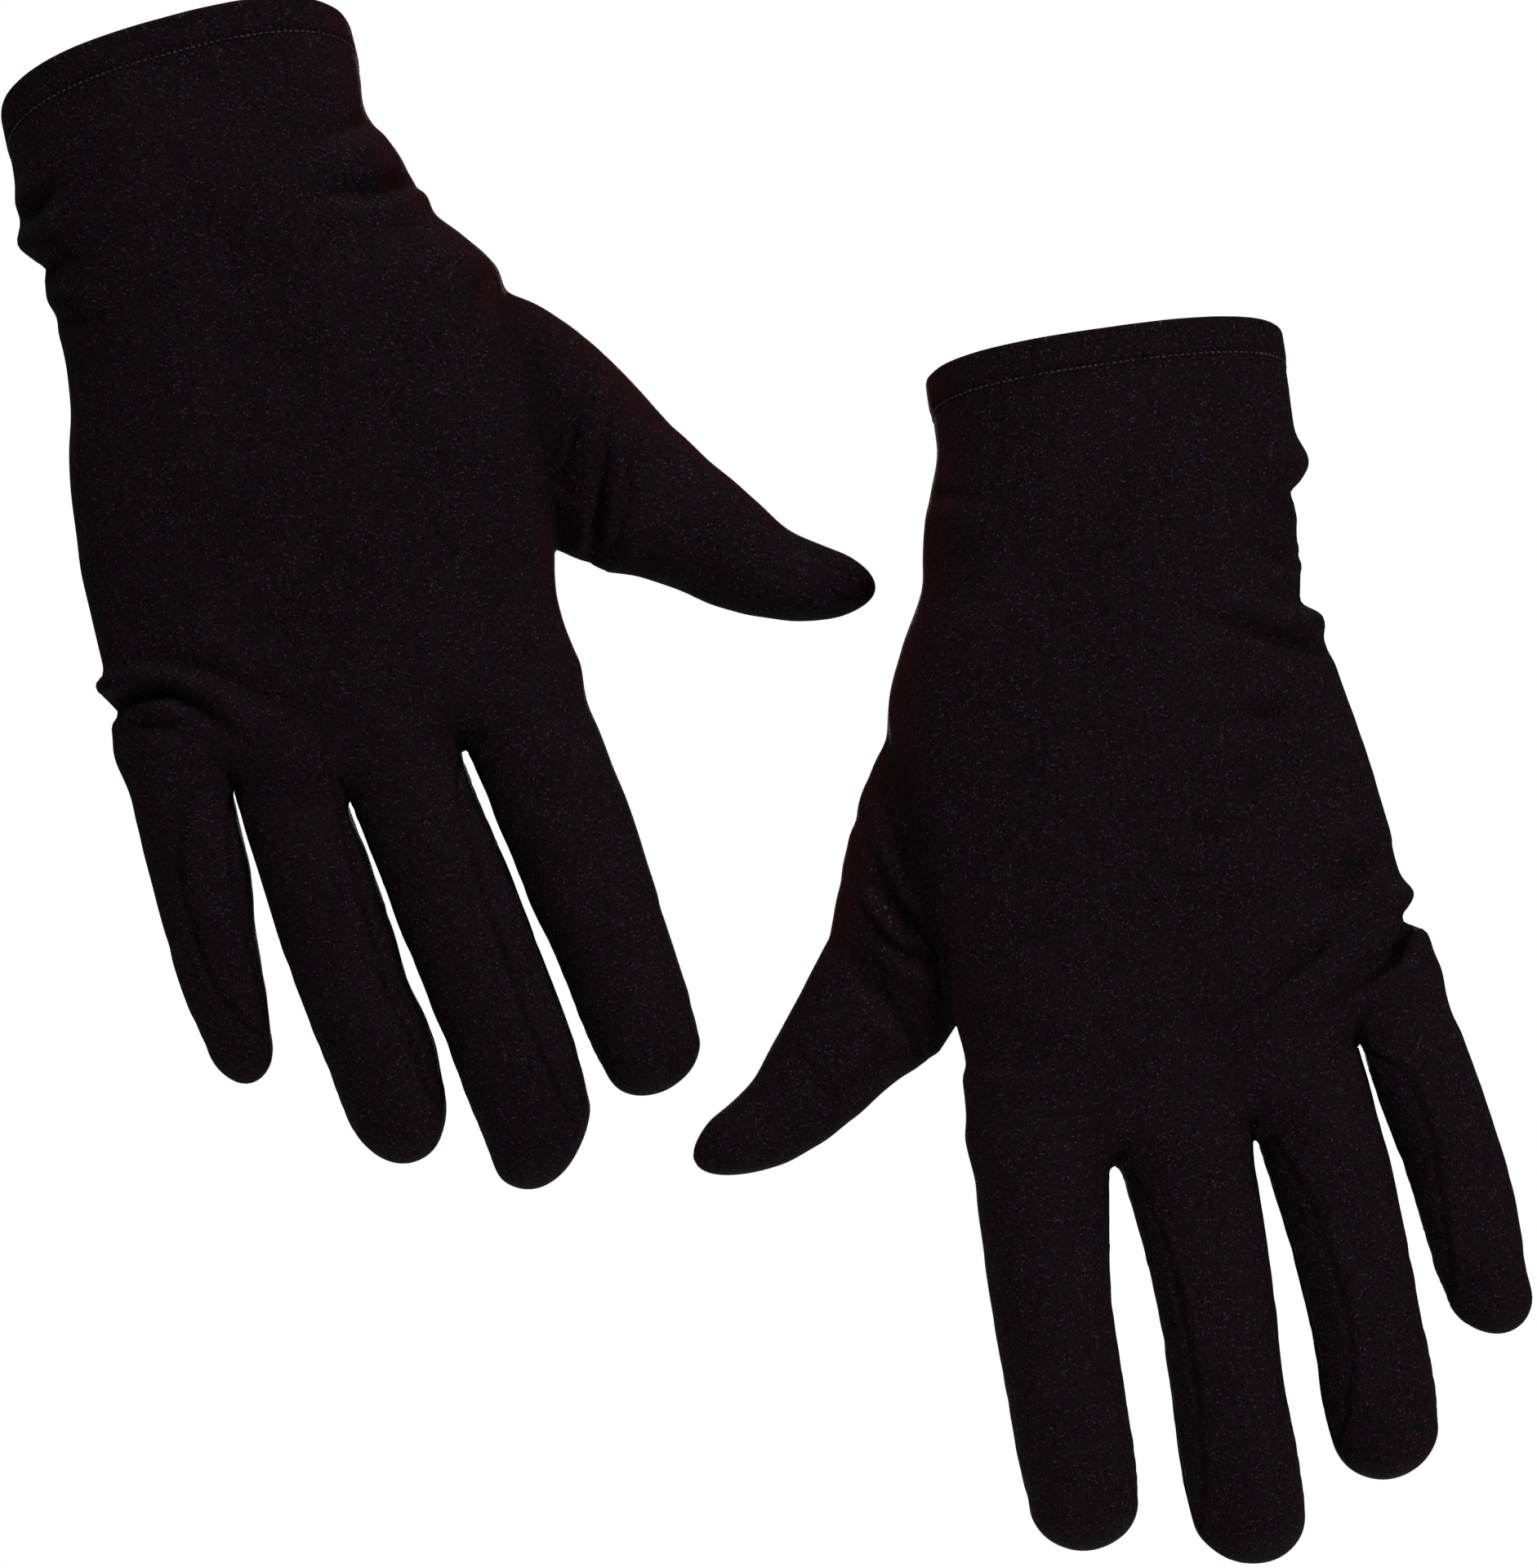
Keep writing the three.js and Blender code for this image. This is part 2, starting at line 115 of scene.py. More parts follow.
# ---- How each glove is worn ----
# centre: the middle of its wrist opening, across and up the picture. lean: its turn, in degrees.
# rim_rise: how much higher the rim is at the back of the hand than half way through.
# little_edge, thumb_edge: the hand's two outlines, as distance down and place across.
# A finger: web is where it starts down the hand, across its place, turn its angle to the thumb
# side, and edges its outline as distance along, little-finger edge and thumb-side edge.
# seam: the visible long seam of its side strip, as distance along and share of the half width.
GLOVES = {
    "right": dict(
        thumb_side=1,
        centre=(0, 0),
        lean=15.4,
        rim_rise=9.5,
        little_edge=[
            (-22, -31.0), (0, -33.8), (8, -34.4), (20, -35.0), (30, -34.2), (42, -34.2), (52, -35.4),
            (62, -38.2), (80, -41.6), (98, -42.8), (112, -42.8), (124, -44.0), (140, -45.2)
        ],
        thumb_edge=[
            (-22, 30.0), (0, 32.2), (10, 31.8), (15, 31.2), (22, 33.4), (30, 36.2), (37.5, 38.4),
            (43, 42.6), (49, 46.4), (55, 47.0), (62, 48.2), (75, 50.0), (90, 47.2), (104, 42.8),
            (116, 41.2), (140, 41.8)
        ],
        fingers=dict(
            index=dict(
                across=28.8, web=134, turn=6.9, length=71.5,
                edges=[
                    (-16, -10.8, 12.6), (10, -10.9, 13.0), (24, -10.9, 12.6), (40, -10.3, 11.1),
                    (56, -10.2, 9.8), (64, -9.9, 8.6), (71.5, -6.0, 3.0)
                ],
            ),
            middle=dict(
                across=4.5, web=136, turn=6.6, length=80.2,
                edges=[
                    (-16, -10.4, 11.4), (10, -10.6, 12.2), (26, -10.6, 12.5), (44, -10.4, 12.0),
                    (58, -10.6, 11.6), (68, -10.6, 10.2), (80.2, -8.4, 0.2)
                ],
                seam=[(0, 0.93), (8, 0.70), (20, 0.50), (36, 0.42), (60, 0.34), (72, 0.34)],
            ),
            ring=dict(
                across=-16.8, web=131.5, turn=3.9, length=74.2,
                edges=[
                    (-16, -10.0, 10.6), (10, -9.9, 10.9), (28, -9.9, 10.9), (42, -9.6, 9.8),
                    (51, -9.3, 10.8), (62, -8.9, 9.6), (74.2, -5.0, 5.2)
                ],
                seam=[(0, 0.93), (8, 0.78), (18, 0.64), (36, 0.56), (58, 0.50), (66, 0.40)],
            ),
            little=dict(
                across=-35.6, web=126, turn=-4, length=57.4,
                edges=[
                    (-16, -8.2, 10.4), (6, -8.5, 11.0), (18, -8.0, 10.4), (30, -7.2, 9.1),
                    (42, -5.8, 8.6), (49, -4.2, 8.0), (57.4, 0.0, 4.4)
                ],
                seam=[(0, 0.62), (4, 0.10), (12, -0.28), (28, -0.36), (40, -0.24), (50, 0.05)],
            ),
        ),
        # The forks between fingers, across and down: index and middle, middle and ring, ring and little.
        forks=[(15.4, 133.6), (-7.2, 136.2), (-27.4, 127.8)],
        thumb=dict(across=61, down=98, turn=51.5, root_turn=44),
        thumb_edge_folds=0.25,   # how much of the thumb's folds is left at its outer edge
        # Folds on the back of the hand: depth, width, and a line across and down.
        folds=[
            crease(1.5, 3.2, (38, 30), (30, 31), (24, 30), (12, 29)),
            crease(0.8, 3.0, (32, 18), (24, 19), (14, 19)),
            crease(0.9, 2.6, (-34, 20), (-29, 16), (-20, 12)),
            crease(1.8, 2.4, (-46, 109), (-40, 108.6), (-32, 110), (-27, 114), (-22, 122), (-14, 127)),
            crease(0.7, 2.4, (-40, 114), (-34, 116), (-29, 120), (-26, 125)),
            crease(0.6, 3.4, (-34, 104), (-24, 108), (-15, 116), (-6, 123), (4, 129)),
            crease(0.6, 3.0, (-35, 38), (-30, 40), (-22, 43)),
            crease(0.6, 3.4, (46, 50), (40, 60), (36, 72)),
        ],
        # Bumps of the little-finger outline: place down, half length, height.
        side_bumps=[
            (22.5, 3.4, 2.4), (28.4, 1.3, -0.9), (34, 2.4, 0.5), (40, 1.8, 0.4), (106, 2.0, 1.0),
            (111, 1.5, -1.5)
        ],
        # Folds of the thumb: depth, width, and a line along and across it.
        thumb_folds=[
            crease(1.6, 2.2, (-13, -6), (-15, 5), (-16, 14), (-17, 24)),
            crease(1.5, 2.2, (-4, -13), (-6, -5), (-9.8, 8), (-10, 21)),
            crease(1.1, 2.0, (-15, -8), (-19, 6), (-22, 16)),
            crease(0.9, 2.2, (-1, -12), (-3, 5), (-4, 18)),
            crease(0.4, 3.4, (16, -10), (15, 0), (14, 10)),
        ],
    ),
    "left": dict(
        thumb_side=-1,
        centre=(171, -52.5),
        lean=8,
        rim_rise=5,
        little_edge=[
            (-22, -31.6), (0, -32.4), (15, -32.6), (24, -32.2), (31, -30.6), (40, -29.6), (49, -29.6),
            (55, -32.0), (62, -33.6), (80, -37.6), (98, -39.8), (112, -41.0), (122, -43.0), (140, -48.0)
        ],
        thumb_edge=[
            (-22, 31.0), (0, 33.4), (15, 34.0), (21, 36.0), (28, 38.0), (37.5, 39.8), (48, 45.0),
            (58, 48.6), (75, 50.0), (95, 49.4), (108, 46.2), (119, 44.4), (130, 43.7), (150, 44.4)
        ],
        fingers=dict(
            index=dict(
                across=31.2, web=147.5, turn=2, length=70.6,
                edges=[
                    (-16, -10.2, 13.8), (6, -10.2, 14.0), (16, -9.2, 13.8), (26, -8.7, 13.4),
                    (40, -9.4, 12.3), (54, -10.0, 11.2), (62, -9.9, 10.2), (70.6, -3.6, 3.6)
                ],
            ),
            middle=dict(
                across=4, web=145.5, turn=-0.6, length=79.4,
                edges=[
                    (-16, -10.8, 13.4), (6, -10.4, 13.6), (18, -10.4, 12.0), (32, -10.0, 11.3),
                    (46, -9.6, 11.0), (60, -10.2, 11.3), (69, -10.2, 10.8), (79.4, -5.0, 3.8)
                ],
                seam=[(0, 0.93), (5, 0.84), (16, 0.68), (30, 0.60), (44, 0.55), (62, 0.56), (72, 0.56)],
            ),
            ring=dict(
                across=-19.5, web=138.5, turn=-3.1, length=74.4,
                edges=[
                    (-16, -10.6, 12.6), (8, -10.6, 12.4), (16, -11.3, 11.4), (28, -11.2, 10.1),
                    (46, -10.8, 9.4), (57, -11.1, 9.8), (65, -10.6, 9.4), (74.4, -5.0, 4.4)
                ],
                seam=[(0, 0.93), (6, 0.80), (14, 0.62), (30, 0.42), (52, 0.34), (66, 0.60)],
            ),
            little=dict(
                across=-38.3, web=131.5, turn=-11.7, length=58.4,
                edges=[
                    (-16, -8.6, 10.2), (6, -8.8, 10.1), (22, -8.8, 9.2), (32, -8.2, 9.8),
                    (42, -6.8, 10.2), (49, -5.4, 9.8), (58.4, -1.6, 4.0)
                ],
                seam=[(0, 0.85), (5, 0.42), (14, 0.30), (28, 0.46), (38, 0.56), (50, 0.66)],
            ),
        ),
        forks=[(17.4, 147.7), (-8.4, 145.0), (-30.0, 129.0)],
        thumb=dict(across=57, down=111, turn=54.5, root_turn=33),
        thumb_edge_folds=0.8,
        folds=[
            crease(1.7, 3.0, (-33, 58.5), (-29, 57.5), (-17, 53), (-3, 48.4)),
            crease(1.3, 2.6, (-32, 43.5), (-27, 42), (-18, 37.5)),
            crease(0.8, 3.2, (-24, 69), (-14, 70), (-3, 71.3)),
            crease(0.5, 3.0, (-8, 89.5), (1, 91)),
            crease(1.0, 3.4, (-36, 98), (-28, 103), (-18, 109)),
            crease(2.2, 2.5, (-44, 105), (-38, 115), (-29, 119), (-19.5, 126), (-4.5, 136), fade=1.3),
            crease(1.7, 2.2, (-43, 111), (-36, 117.6), (-24, 125), (-12, 138), fade=1.3),
            crease(1.0, 3.2, (-26, 112), (-14, 119), (-4, 127), (3, 132)),
            crease(0.8, 1.8, (-2, 145), (-9.8, 142.6), (-15, 145)),
            crease(0.7, 1.8, (-26, 127), (-30, 125.5), (-34, 127)),
            crease(0.6, 2.6, (36, 21), (30, 22), (24, 22)),
        ],
        side_bumps=[
            (24, 3.6, 2.2), (29.6, 1.3, -0.9), (34.5, 2.0, 0.5), (38.5, 1.3, -0.5), (43, 2.2, 1.2),
            (49.6, 1.7, -0.7), (54, 2, 0.5), (105.8, 2.4, 1.4), (110.4, 1.5, -1.2)
        ],
        thumb_folds=[
            crease(1.9, 2.2, (-11, -9), (-13, 6), (-17, 16), (-21, 27)),
            crease(1.8, 2.0, (-10, -8), (-8, 0), (-8, 9), (-9, 21)),
            crease(1.4, 1.9, (-10, -2), (-12, 10), (-15, 22)),
            crease(1.2, 2.2, (-16, 4), (-22, 14), (-28, 24)),
            crease(0.8, 2.4, (2, -12), (0, 6), (-2, 18)),
            crease(0.4, 3.4, (21, -10), (20, 0), (18, 10)),
        ],
    ),
}
FINGERS = ("index", "middle", "ring", "little")
# Fingers are made a little apart and then brought together, so that neighbours never fuse.
SPREAD = {"index": 7.5, "middle": 2.5, "ring": -2.5, "little": -7.5}
SPREAD_OVER = 13
PARTED_AT = 5             # neighbours are parted midway between their edges this far along
PARTED_BY = 0.45          # each keeps this far from the line between them
STRIPS = {"index": ("little_side",), "middle": ("thumb_side", "little_side"),
          "ring": ("thumb_side", "little_side"), "little": ("thumb_side",)}
STRIP_WIDTH = 9.5
STRIP_STOPS_SHORT = 9     # from the fingertip back to a strip's point
STRIP_MIDDLE = 0.64       # of a little-finger side strip: its share of the way round from the back
FINGER_FROM = -11         # a point belongs to a finger from here along it
FINGER_WITHIN = 6         # and when its field is below this
CUT_PAST_FORK = 2.2       # a finger's own pieces start this far past the forks beside it
THUMB = len(FINGERS) + 1  # owner of the thumb's points: 0 is the hand, 1 to 4 are the fingers

# ---- Folds that both gloves have ----
FOLD_STRENGTH = 1.9
FOLDS_ON_FINGERS = 0.5    # how much of the hand's folds runs on to the fingers
PALM_FOLDS_MADE_FOR = 134   # the first fork's distance down, in a glove of the size drawn here
PALM_FOLDS = [
    crease(1.1, 3.0, (40, 50), (24, 66), (17, 88), (16, 108)),
    crease(0.9, 3.0, (-40, 92), (-20, 98), (2, 108), (22, 116)),
    crease(1.2, 3.2, (-36, 34), (-14, 31), (10, 32), (34, 30)),
    crease(0.7, 2.6, (36, 98), (22, 104), (6, 106)),
    crease(0.8, 3.2, (-38, 60), (-26, 66), (-18, 76)),
    crease(0.6, 2.8, (-30, 22), (-14, 20), (0, 22)),
]
# The small hooked crease over a fork, from its middle: towards the thumb, down.
FORK_HOOK = [(2.6, 3.0), (1.6, -1.2), (-0.8, -3.2), (-4.2, -2.6), (-6.0, -1.2)]
FORK_HOOK_DEPTH = 1.6
FORK_HOOK_WIDTH = 1.4
JOINT_FOLDS = [(0.36, 0.7), (0.66, 0.55)]   # share of a finger's length, depth on its palm side
NOISE_SEED = {"right": 11, "left": 29}


# ---- Curves and blends of numbers ----

def smooth(x):
    x = np.clip(x, 0, 1)
    return x * x * (3 - 2 * x)


def curve(points, x, column=1):
    """A smooth curve through points, read at x and level beyond its ends."""
    table = np.array(points, float)
    xs, ys = table[:, 0], table[:, column]
    slope = np.gradient(ys, xs)
    i = np.clip(np.searchsorted(xs, x) - 1, 0, len(xs) - 2)
    span = xs[i + 1] - xs[i]
    f = np.clip((x - xs[i]) / span, 0, 1)
    ends = (1 + 2 * f) * (1 - f) ** 2 * ys[i] + f * f * (3 - 2 * f) * ys[i + 1]
    return ends + span * f * (1 - f) * ((1 - f) * slope[i] - f * slope[i + 1])


def unit(rows):
    return rows / np.maximum(np.linalg.norm(rows, axis=1, keepdims=True), 1e-12)


def soft_min(a, b, k):
    h = np.clip(k - np.abs(a - b), 0, None) / k
    return np.minimum(a, b) - h * h * k / 4


def soft_max(a, b, k):
    return -soft_min(-a, -b, k)


def noise(points, size, seed):
    """Smooth random values, about -1 to 1, that change over a distance of size."""
    rng = np.random.default_rng(seed)
    total = np.zeros(len(points))
    for _ in range(7):
        direction = rng.normal(size=3)
        direction *= 2 * math.pi / size / np.linalg.norm(direction) * rng.uniform(0.7, 1.3)
        total += np.sin(points @ direction + rng.uniform(0, 2 * math.pi))
    return total / 4


# ---- Places ----

def limb_axes(turn):
    """Directions along and across a limb, as (u, t)."""
    a = math.radians(turn)
    return np.array([math.sin(a), math.cos(a)]), np.array([math.cos(a), -math.sin(a)])


def into_limb(p, across, down, turn):
    along, side = limb_axes(turn)
    rel = p[..., :2] - np.array([across, down])
    return rel @ along, rel @ side


def into_finger(glove, name, p):
    finger = glove["fingers"][name]
    return into_limb(p, finger["across"], finger["web"], finger["turn"])


def spread_of(name, s):
    return SPREAD[name] * smooth(s / SPREAD_OVER)


def glove_to_frame(glove, p):
    """Glove coordinates in millimetres to the frame's metres."""
    a = -math.radians(glove["lean"])
    x, z = glove["thumb_side"] * p[..., 0], -p[..., 1]
    cx, cz = glove["centre"]
    return np.stack([
        cx + x * math.cos(a) + z * math.sin(a),
        p[..., 2],
        cz - x * math.sin(a) + z * math.cos(a),
    ], -1) * MM


def direction_to_frame(glove, d):
    away = {**glove, "centre": (0, 0)}
    return glove_to_frame(away, d) / MM


# ---- The body of a glove as one smooth field, negative inside ----

def tube(x, n, low, high, back, palm, squareness, past=0.0):
    """A tube's field. low and high are its edges across, past runs from 0 to 1 over its rounded tip."""
    half = (high - low) / 2
    thick = np.where(n < 0, back, palm)
    ring = np.abs((x - (low + high) / 2) / half) ** squareness + np.abs(n / thick) ** squareness
    return (np.sqrt(ring ** (2 / squareness) + past ** 2) - 1) * np.minimum(half, thick)


def web_line(glove, u):
    """How far down the hand its lower end lies, through the forks between the fingers."""
    first, last = glove["forks"][0], glove["forks"][-1]
    ends = [(first[0] + 24, first[1] - 2), (last[0] - 16, last[1] - 3)]
    return curve(sorted([*glove["forks"], *ends]), u)


def hand_field(glove, p):
    u, t, n = p[..., 0], p[..., 1], p[..., 2]
    body = tube(u, n, curve(glove["little_edge"], t), curve(glove["thumb_edge"], t),
                curve(HAND_BACK, t), curve(HAND_PALM, t), HAND_SQUARENESS)
    return soft_max(body, t - web_line(glove, u) + 1.5, 7)


def finger_shape(finger, s):
    """A finger's centre line across, half width, half thickness and how far it leans to the palm."""
    tip = finger["edges"][-1][0]
    cap = finger["edges"][-2][0]
    low, high = curve(finger["edges"][:-1], s, 1), curve(finger["edges"][:-1], s, 2)
    end = (finger["edges"][-1][1] + finger["edges"][-1][2]) / 2
    past = np.clip((s - cap) / (tip - cap), 0, None)
    centre = (low + high) / 2
    centre = centre + (end - centre) * smooth(past) * 0.9
    half = (high - low) / 2 * (1 - STUB_NARROWS * smooth((4 - s) / (STUB + 4)))
    lean = FINGER_CURL * (np.clip(s - FINGER_BEND_AT, 0, None) / (tip - FINGER_BEND_AT)) ** 2
    return centre, half, half * FINGER_FLATNESS, lean, past


def parting(glove, i):
    """Between finger i and the next, as they are worn: a point, and the way to the thumb side."""
    pair = [glove["fingers"][name] for name in FINGERS[i:i + 2]]
    point = np.zeros(2)
    for finger, edge in zip(pair, (1, 2)):
        along, side = limb_axes(finger["turn"])
        x = curve(finger["edges"][:-1], PARTED_AT, edge)
        point += (np.array([finger["across"], finger["web"]]) + along * PARTED_AT + side * x) / 2
    return point, limb_axes((pair[0]["turn"] + pair[1]["turn"]) / 2)[1]


def finger_field(glove, name, p):
    finger = glove["fingers"][name]
    s, x = into_finger(glove, name, p)
    x = x - spread_of(name, s)
    centre, half, thick, lean, past = finger_shape(finger, s)
    body = tube(x, p[..., 2] - lean, centre - half, centre + half, thick, thick, FINGER_SQUARENESS, past)
    along, side = limb_axes(finger["turn"])
    worn = np.array([finger["across"], finger["web"]]) + s[..., None] * along + x[..., None] * side
    i = FINGERS.index(name)
    for line, towards in ((i, -1), (i - 1, 1)):
        if 0 <= line < len(FINGERS) - 1:
            point, across = parting(glove, line)
            body = soft_max(body, towards * ((worn - point) @ across) + PARTED_BY, 1.2)
    return soft_max(body, -STUB - s, 2)


def thumb_place(glove, p):
    thumb = glove["thumb"]
    s, x = into_limb(p, thumb["across"], thumb["down"], thumb["turn"])
    drift = -np.minimum(s, 0) * math.tan(math.radians(thumb["turn"] - thumb["root_turn"]))
    lean = THUMB_LIFT * (1 + np.minimum(s, 0) / THUMB_ROOT)
    return s, x - drift, p[..., 2] - lean


def thumb_field(glove, p):
    s, x, n = thumb_place(glove, p)
    cap = THUMB_EDGES[-2][0] - 2
    past = np.clip((s - cap) / (THUMB_LENGTH - cap), 0, None)
    low, high = curve(THUMB_EDGES, s, 1), curve(THUMB_EDGES, s, 2)
    thick = curve(THUMB_THICKNESS, s)
    body = tube(x, n, low, high, thick, thick, THUMB_SQUARENESS, past)
    return soft_max(body, -THUMB_ROOT - s, 6)


def glove_field(glove, p):
    whole = hand_field(glove, p)
    fingers = None
    for name in FINGERS:
        one = finger_field(glove, name, p)
        fingers = one if fingers is None else soft_min(fingers, one, 1.2)
    whole = soft_min(whole, fingers, 6)
    return soft_min(whole, thumb_field(glove, p), 2.2)


# ---- From the field to a mesh ----

CORNERS = [(0, 0, 0), (1, 0, 0), (0, 1, 0), (1, 1, 0), (0, 0, 1), (1, 0, 1), (0, 1, 1), (1, 1, 1)]
EDGES = [(a, b) for a in range(8) for b in range(a + 1, 8)
         if sum(abs(p - q) for p, q in zip(CORNERS[a], CORNERS[b])) == 1]


def surface_net(values, low, step):
    """Quads round the zero surface of a grid of values, facing out."""
    inside = values < 0
    shape = np.array(values.shape) - 1
    count = sum(inside[a:a + shape[0], b:b + shape[1], c:c + shape[2]].astype(np.int8)
                for a, b, c in CORNERS)
    active = (count > 0) & (count < 8)
    cells = np.argwhere(active)
    number = np.full(active.shape, -1)
    number[tuple(cells.T)] = np.arange(len(cells))
    total, crossings = np.zeros((len(cells), 3)), np.zeros(len(cells))
    for a, b in EDGES:
        pa, pb = np.array(CORNERS[a]), np.array(CORNERS[b])
        fa, fb = values[tuple((cells + pa).T)], values[tuple((cells + pb).T)]
        cut = (fa < 0) != (fb < 0)
        f = fa / np.where(cut, fa - fb, 1)
        total[cut] += (pa + f[:, None] * (pb - pa))[cut]
        crossings[cut] += 1
    verts = low + step * (cells + total / crossings[:, None])
    quads = []
    for axis in range(3):
        one, two = (axis + 1) % 3, (axis + 2) % 3
        start = [slice(0, -1)] * 3
        start[one] = start[two] = slice(1, -1)
        end = list(start)
        end[axis] = slice(1, None)
        a, b = inside[tuple(start)], inside[tuple(end)]
        for here, flip in ((a & ~b, False), (~a & b, True)):
            at = np.argwhere(here)
            at[:, one] += 1
            at[:, two] += 1
            ring = []
            for d1, d2 in ((-1, -1), (0, -1), (0, 0), (-1, 0)):
                cell = at.copy()
                cell[:, one] += d1
                cell[:, two] += d2
                ring.append(number[tuple(cell.T)])
            quads.append(np.stack(ring[::-1] if flip else ring, 1))
    return verts, np.concatenate(quads)


def gradient(glove, p, h=0.05):
    """The direction in which the glove's field rises at points p, and how steeply."""
    g = [glove_field(glove, p + h * e) - glove_field(glove, p - h * e) for e in np.eye(3)]
    g = np.stack(g, 1) / (2 * h)
    steep = np.linalg.norm(g, axis=1)
    return g / np.maximum(steep, 1e-9)[:, None], steep


def neighbours_mean(values, edges, degree):
    total = np.zeros_like(values)
    np.add.at(total, edges[:, 0], values[edges[:, 1]])
    np.add.at(total, edges[:, 1], values[edges[:, 0]])
    return total / degree[:, None]


def mesh_edges(faces):
    pairs = np.concatenate([faces[:, [i, (i + 1) % faces.shape[1]]] for i in range(faces.shape[1])])
    return np.unique(np.sort(pairs, 1), axis=0)


def glove_surface(glove):
    """The glove's smooth outer surface, made with its fingers spread."""
    low = np.array([-75.0, -24.0, -24.0])
    high = np.array([118.0, 236.0, 34.0])
    axes = [np.arange(a, b + grid, grid) for a, b in zip(low, high)]
    values = np.empty([len(a) for a in axes], np.float32)
    for i in range(0, len(axes[1]), 32):
        block = np.stack(np.meshgrid(axes[0], axes[1][i:i + 32], axes[2], indexing="ij"), -1)
        values[:, i:i + 32] = glove_field(glove, block)
    verts, quads = surface_net(values, low, grid)
    edges = mesh_edges(quads)
    degree = np.bincount(edges.ravel(), minlength=len(verts)).astype(float)
    for _ in range(3):   # evened out, and then moved back to the field's zero
        verts = verts + 0.6 * (neighbours_mean(verts, edges, degree) - verts)
        normal, steep = gradient(glove, verts)
        off = np.clip(glove_field(glove, verts) / np.maximum(steep, 0.3), -grid, grid)
        verts = verts - normal * off[:, None]
    # an edge on the shorter diagonal makes the better pair of triangles
    a, b, c, d = (verts[quads[:, i]] for i in range(4))
    first = np.linalg.norm(a - c, axis=1) < np.linalg.norm(b - d, axis=1)
    split = np.where(first[:, None], quads[:, [0, 1, 2, 0, 2, 3]], quads[:, [0, 1, 3, 1, 2, 3]])
    return verts, split.reshape(-1, 3)


# ---- Cutting a surface along a line ----

class Surface:
    """Triangles that can be cut along lines."""

    def __init__(self, verts, faces):
        self.verts = verts
        self.faces = faces

    def cut(self, value, near=0.18):
        """Splits every triangle that value changes sign in. value has a number for each vertex."""
        value = value.copy()
        edges = mesh_edges(self.faces)
        length = np.abs(value[edges[:, 0]] - value[edges[:, 1]])
        crossing = (value[edges[:, 0]] < 0) != (value[edges[:, 1]] < 0)
        for side in (0, 1):  # a vertex close to the line is moved onto it, so no sliver is left
            v = edges[crossing, side]
            close = np.abs(value[v]) < near * length[crossing]
            other = edges[crossing, 1 - side][close]
            gap = value[v[close]] - value[other]
            f = (value[v[close]] / np.where(gap == 0, 1, gap))[:, None]
            v, first = np.unique(v[close], return_index=True)
            self.verts[v] += f[first] * (self.verts[other[first]] - self.verts[v])
            value[v] = 0
        crossing = value[edges[:, 0]] * value[edges[:, 1]] < 0
        a, b = edges[crossing].T
        f = (value[a] / (value[a] - value[b]))[:, None]
        count = len(value)
        self.verts = np.concatenate([self.verts, self.verts[a] + f * (self.verts[b] - self.verts[a])])
        codes = a * count + b
        order = np.argsort(codes)
        faces = self.faces
        sides = []
        for i in range(3):
            p, q = faces[:, i], faces[:, (i + 1) % 3]
            code = np.minimum(p, q) * count + np.maximum(p, q)
            place = np.clip(np.searchsorted(codes[order], code), 0, max(len(order) - 1, 0))
            hit = codes[order][place] == code if len(order) else np.zeros(len(code), bool)
            sides.append(np.where(hit, count + order[place] if len(order) else -1, -1))
        sides = np.stack(sides, 1)
        cuts = (sides >= 0).sum(1)
        made = [faces[cuts == 0]]
        for i in range(3):  # one side cut: through the opposite vertex
            j, k = (i + 1) % 3, (i + 2) % 3
            at = (cuts == 1) & (sides[:, i] >= 0)
            m = sides[at, i]
            p, q, r = faces[at, i], faces[at, j], faces[at, k]
            made += [np.stack([p, m, r], 1), np.stack([m, q, r], 1)]
            at = (cuts == 2) & (sides[:, i] < 0)  # two sides cut: vertex k stands alone
            p, q, r = faces[at, i], faces[at, j], faces[at, k]
            m, n = sides[at, j], sides[at, k]
            made += [np.stack([m, r, n], 1), np.stack([p, q, m], 1), np.stack([p, m, n], 1)]
        self.faces = np.concatenate(made)


def vertex_normals(verts, faces):
    a, b, c = (verts[faces[:, i]] for i in range(3))
    cross = np.cross(b - a, c - a)
    total = np.zeros_like(verts)
    for i in range(3):
        np.add.at(total, faces[:, i], cross)
    return unit(total)


# ---- Wrinkles ----


def line_push(x, y, fold):
    """The in and out of one fold at points (x, y): a groove with a puffed lip on each side."""
    line = fold["line"]
    lengths = np.linalg.norm(np.diff(line, axis=0), axis=1)
    along = np.concatenate([[0], np.cumsum(lengths)])
    best, share, side = np.full(x.shape, 1e9), np.zeros(x.shape), np.zeros(x.shape)
    for i in range(len(lengths)):
        d = line[i + 1] - line[i]
        f = np.clip(((x - line[i, 0]) * d[0] + (y - line[i, 1]) * d[1]) / lengths[i] ** 2, 0, 1)
        px, py = x - line[i, 0] - f * d[0], y - line[i, 1] - f * d[1]
        distance = np.hypot(px, py)
        near = distance < best
        best = np.where(near, distance, best)
        share = np.where(near, (along[i] + f * lengths[i]) / along[-1], share)
        side = np.where(near, np.sign(px * d[1] - py * d[0]), side)
    fade = smooth((1 - share) / fold["fade"]) * smooth(0.45 + share / 0.25)
    width = fold["width"]
    groove = np.exp(-(best / (0.55 * width)) ** 2)
    lip = np.exp(-((best - 1.45 * width) / (0.9 * width)) ** 2) * (0.34 + 0.16 * side)
    return fold["depth"] * fade * (lip - groove)


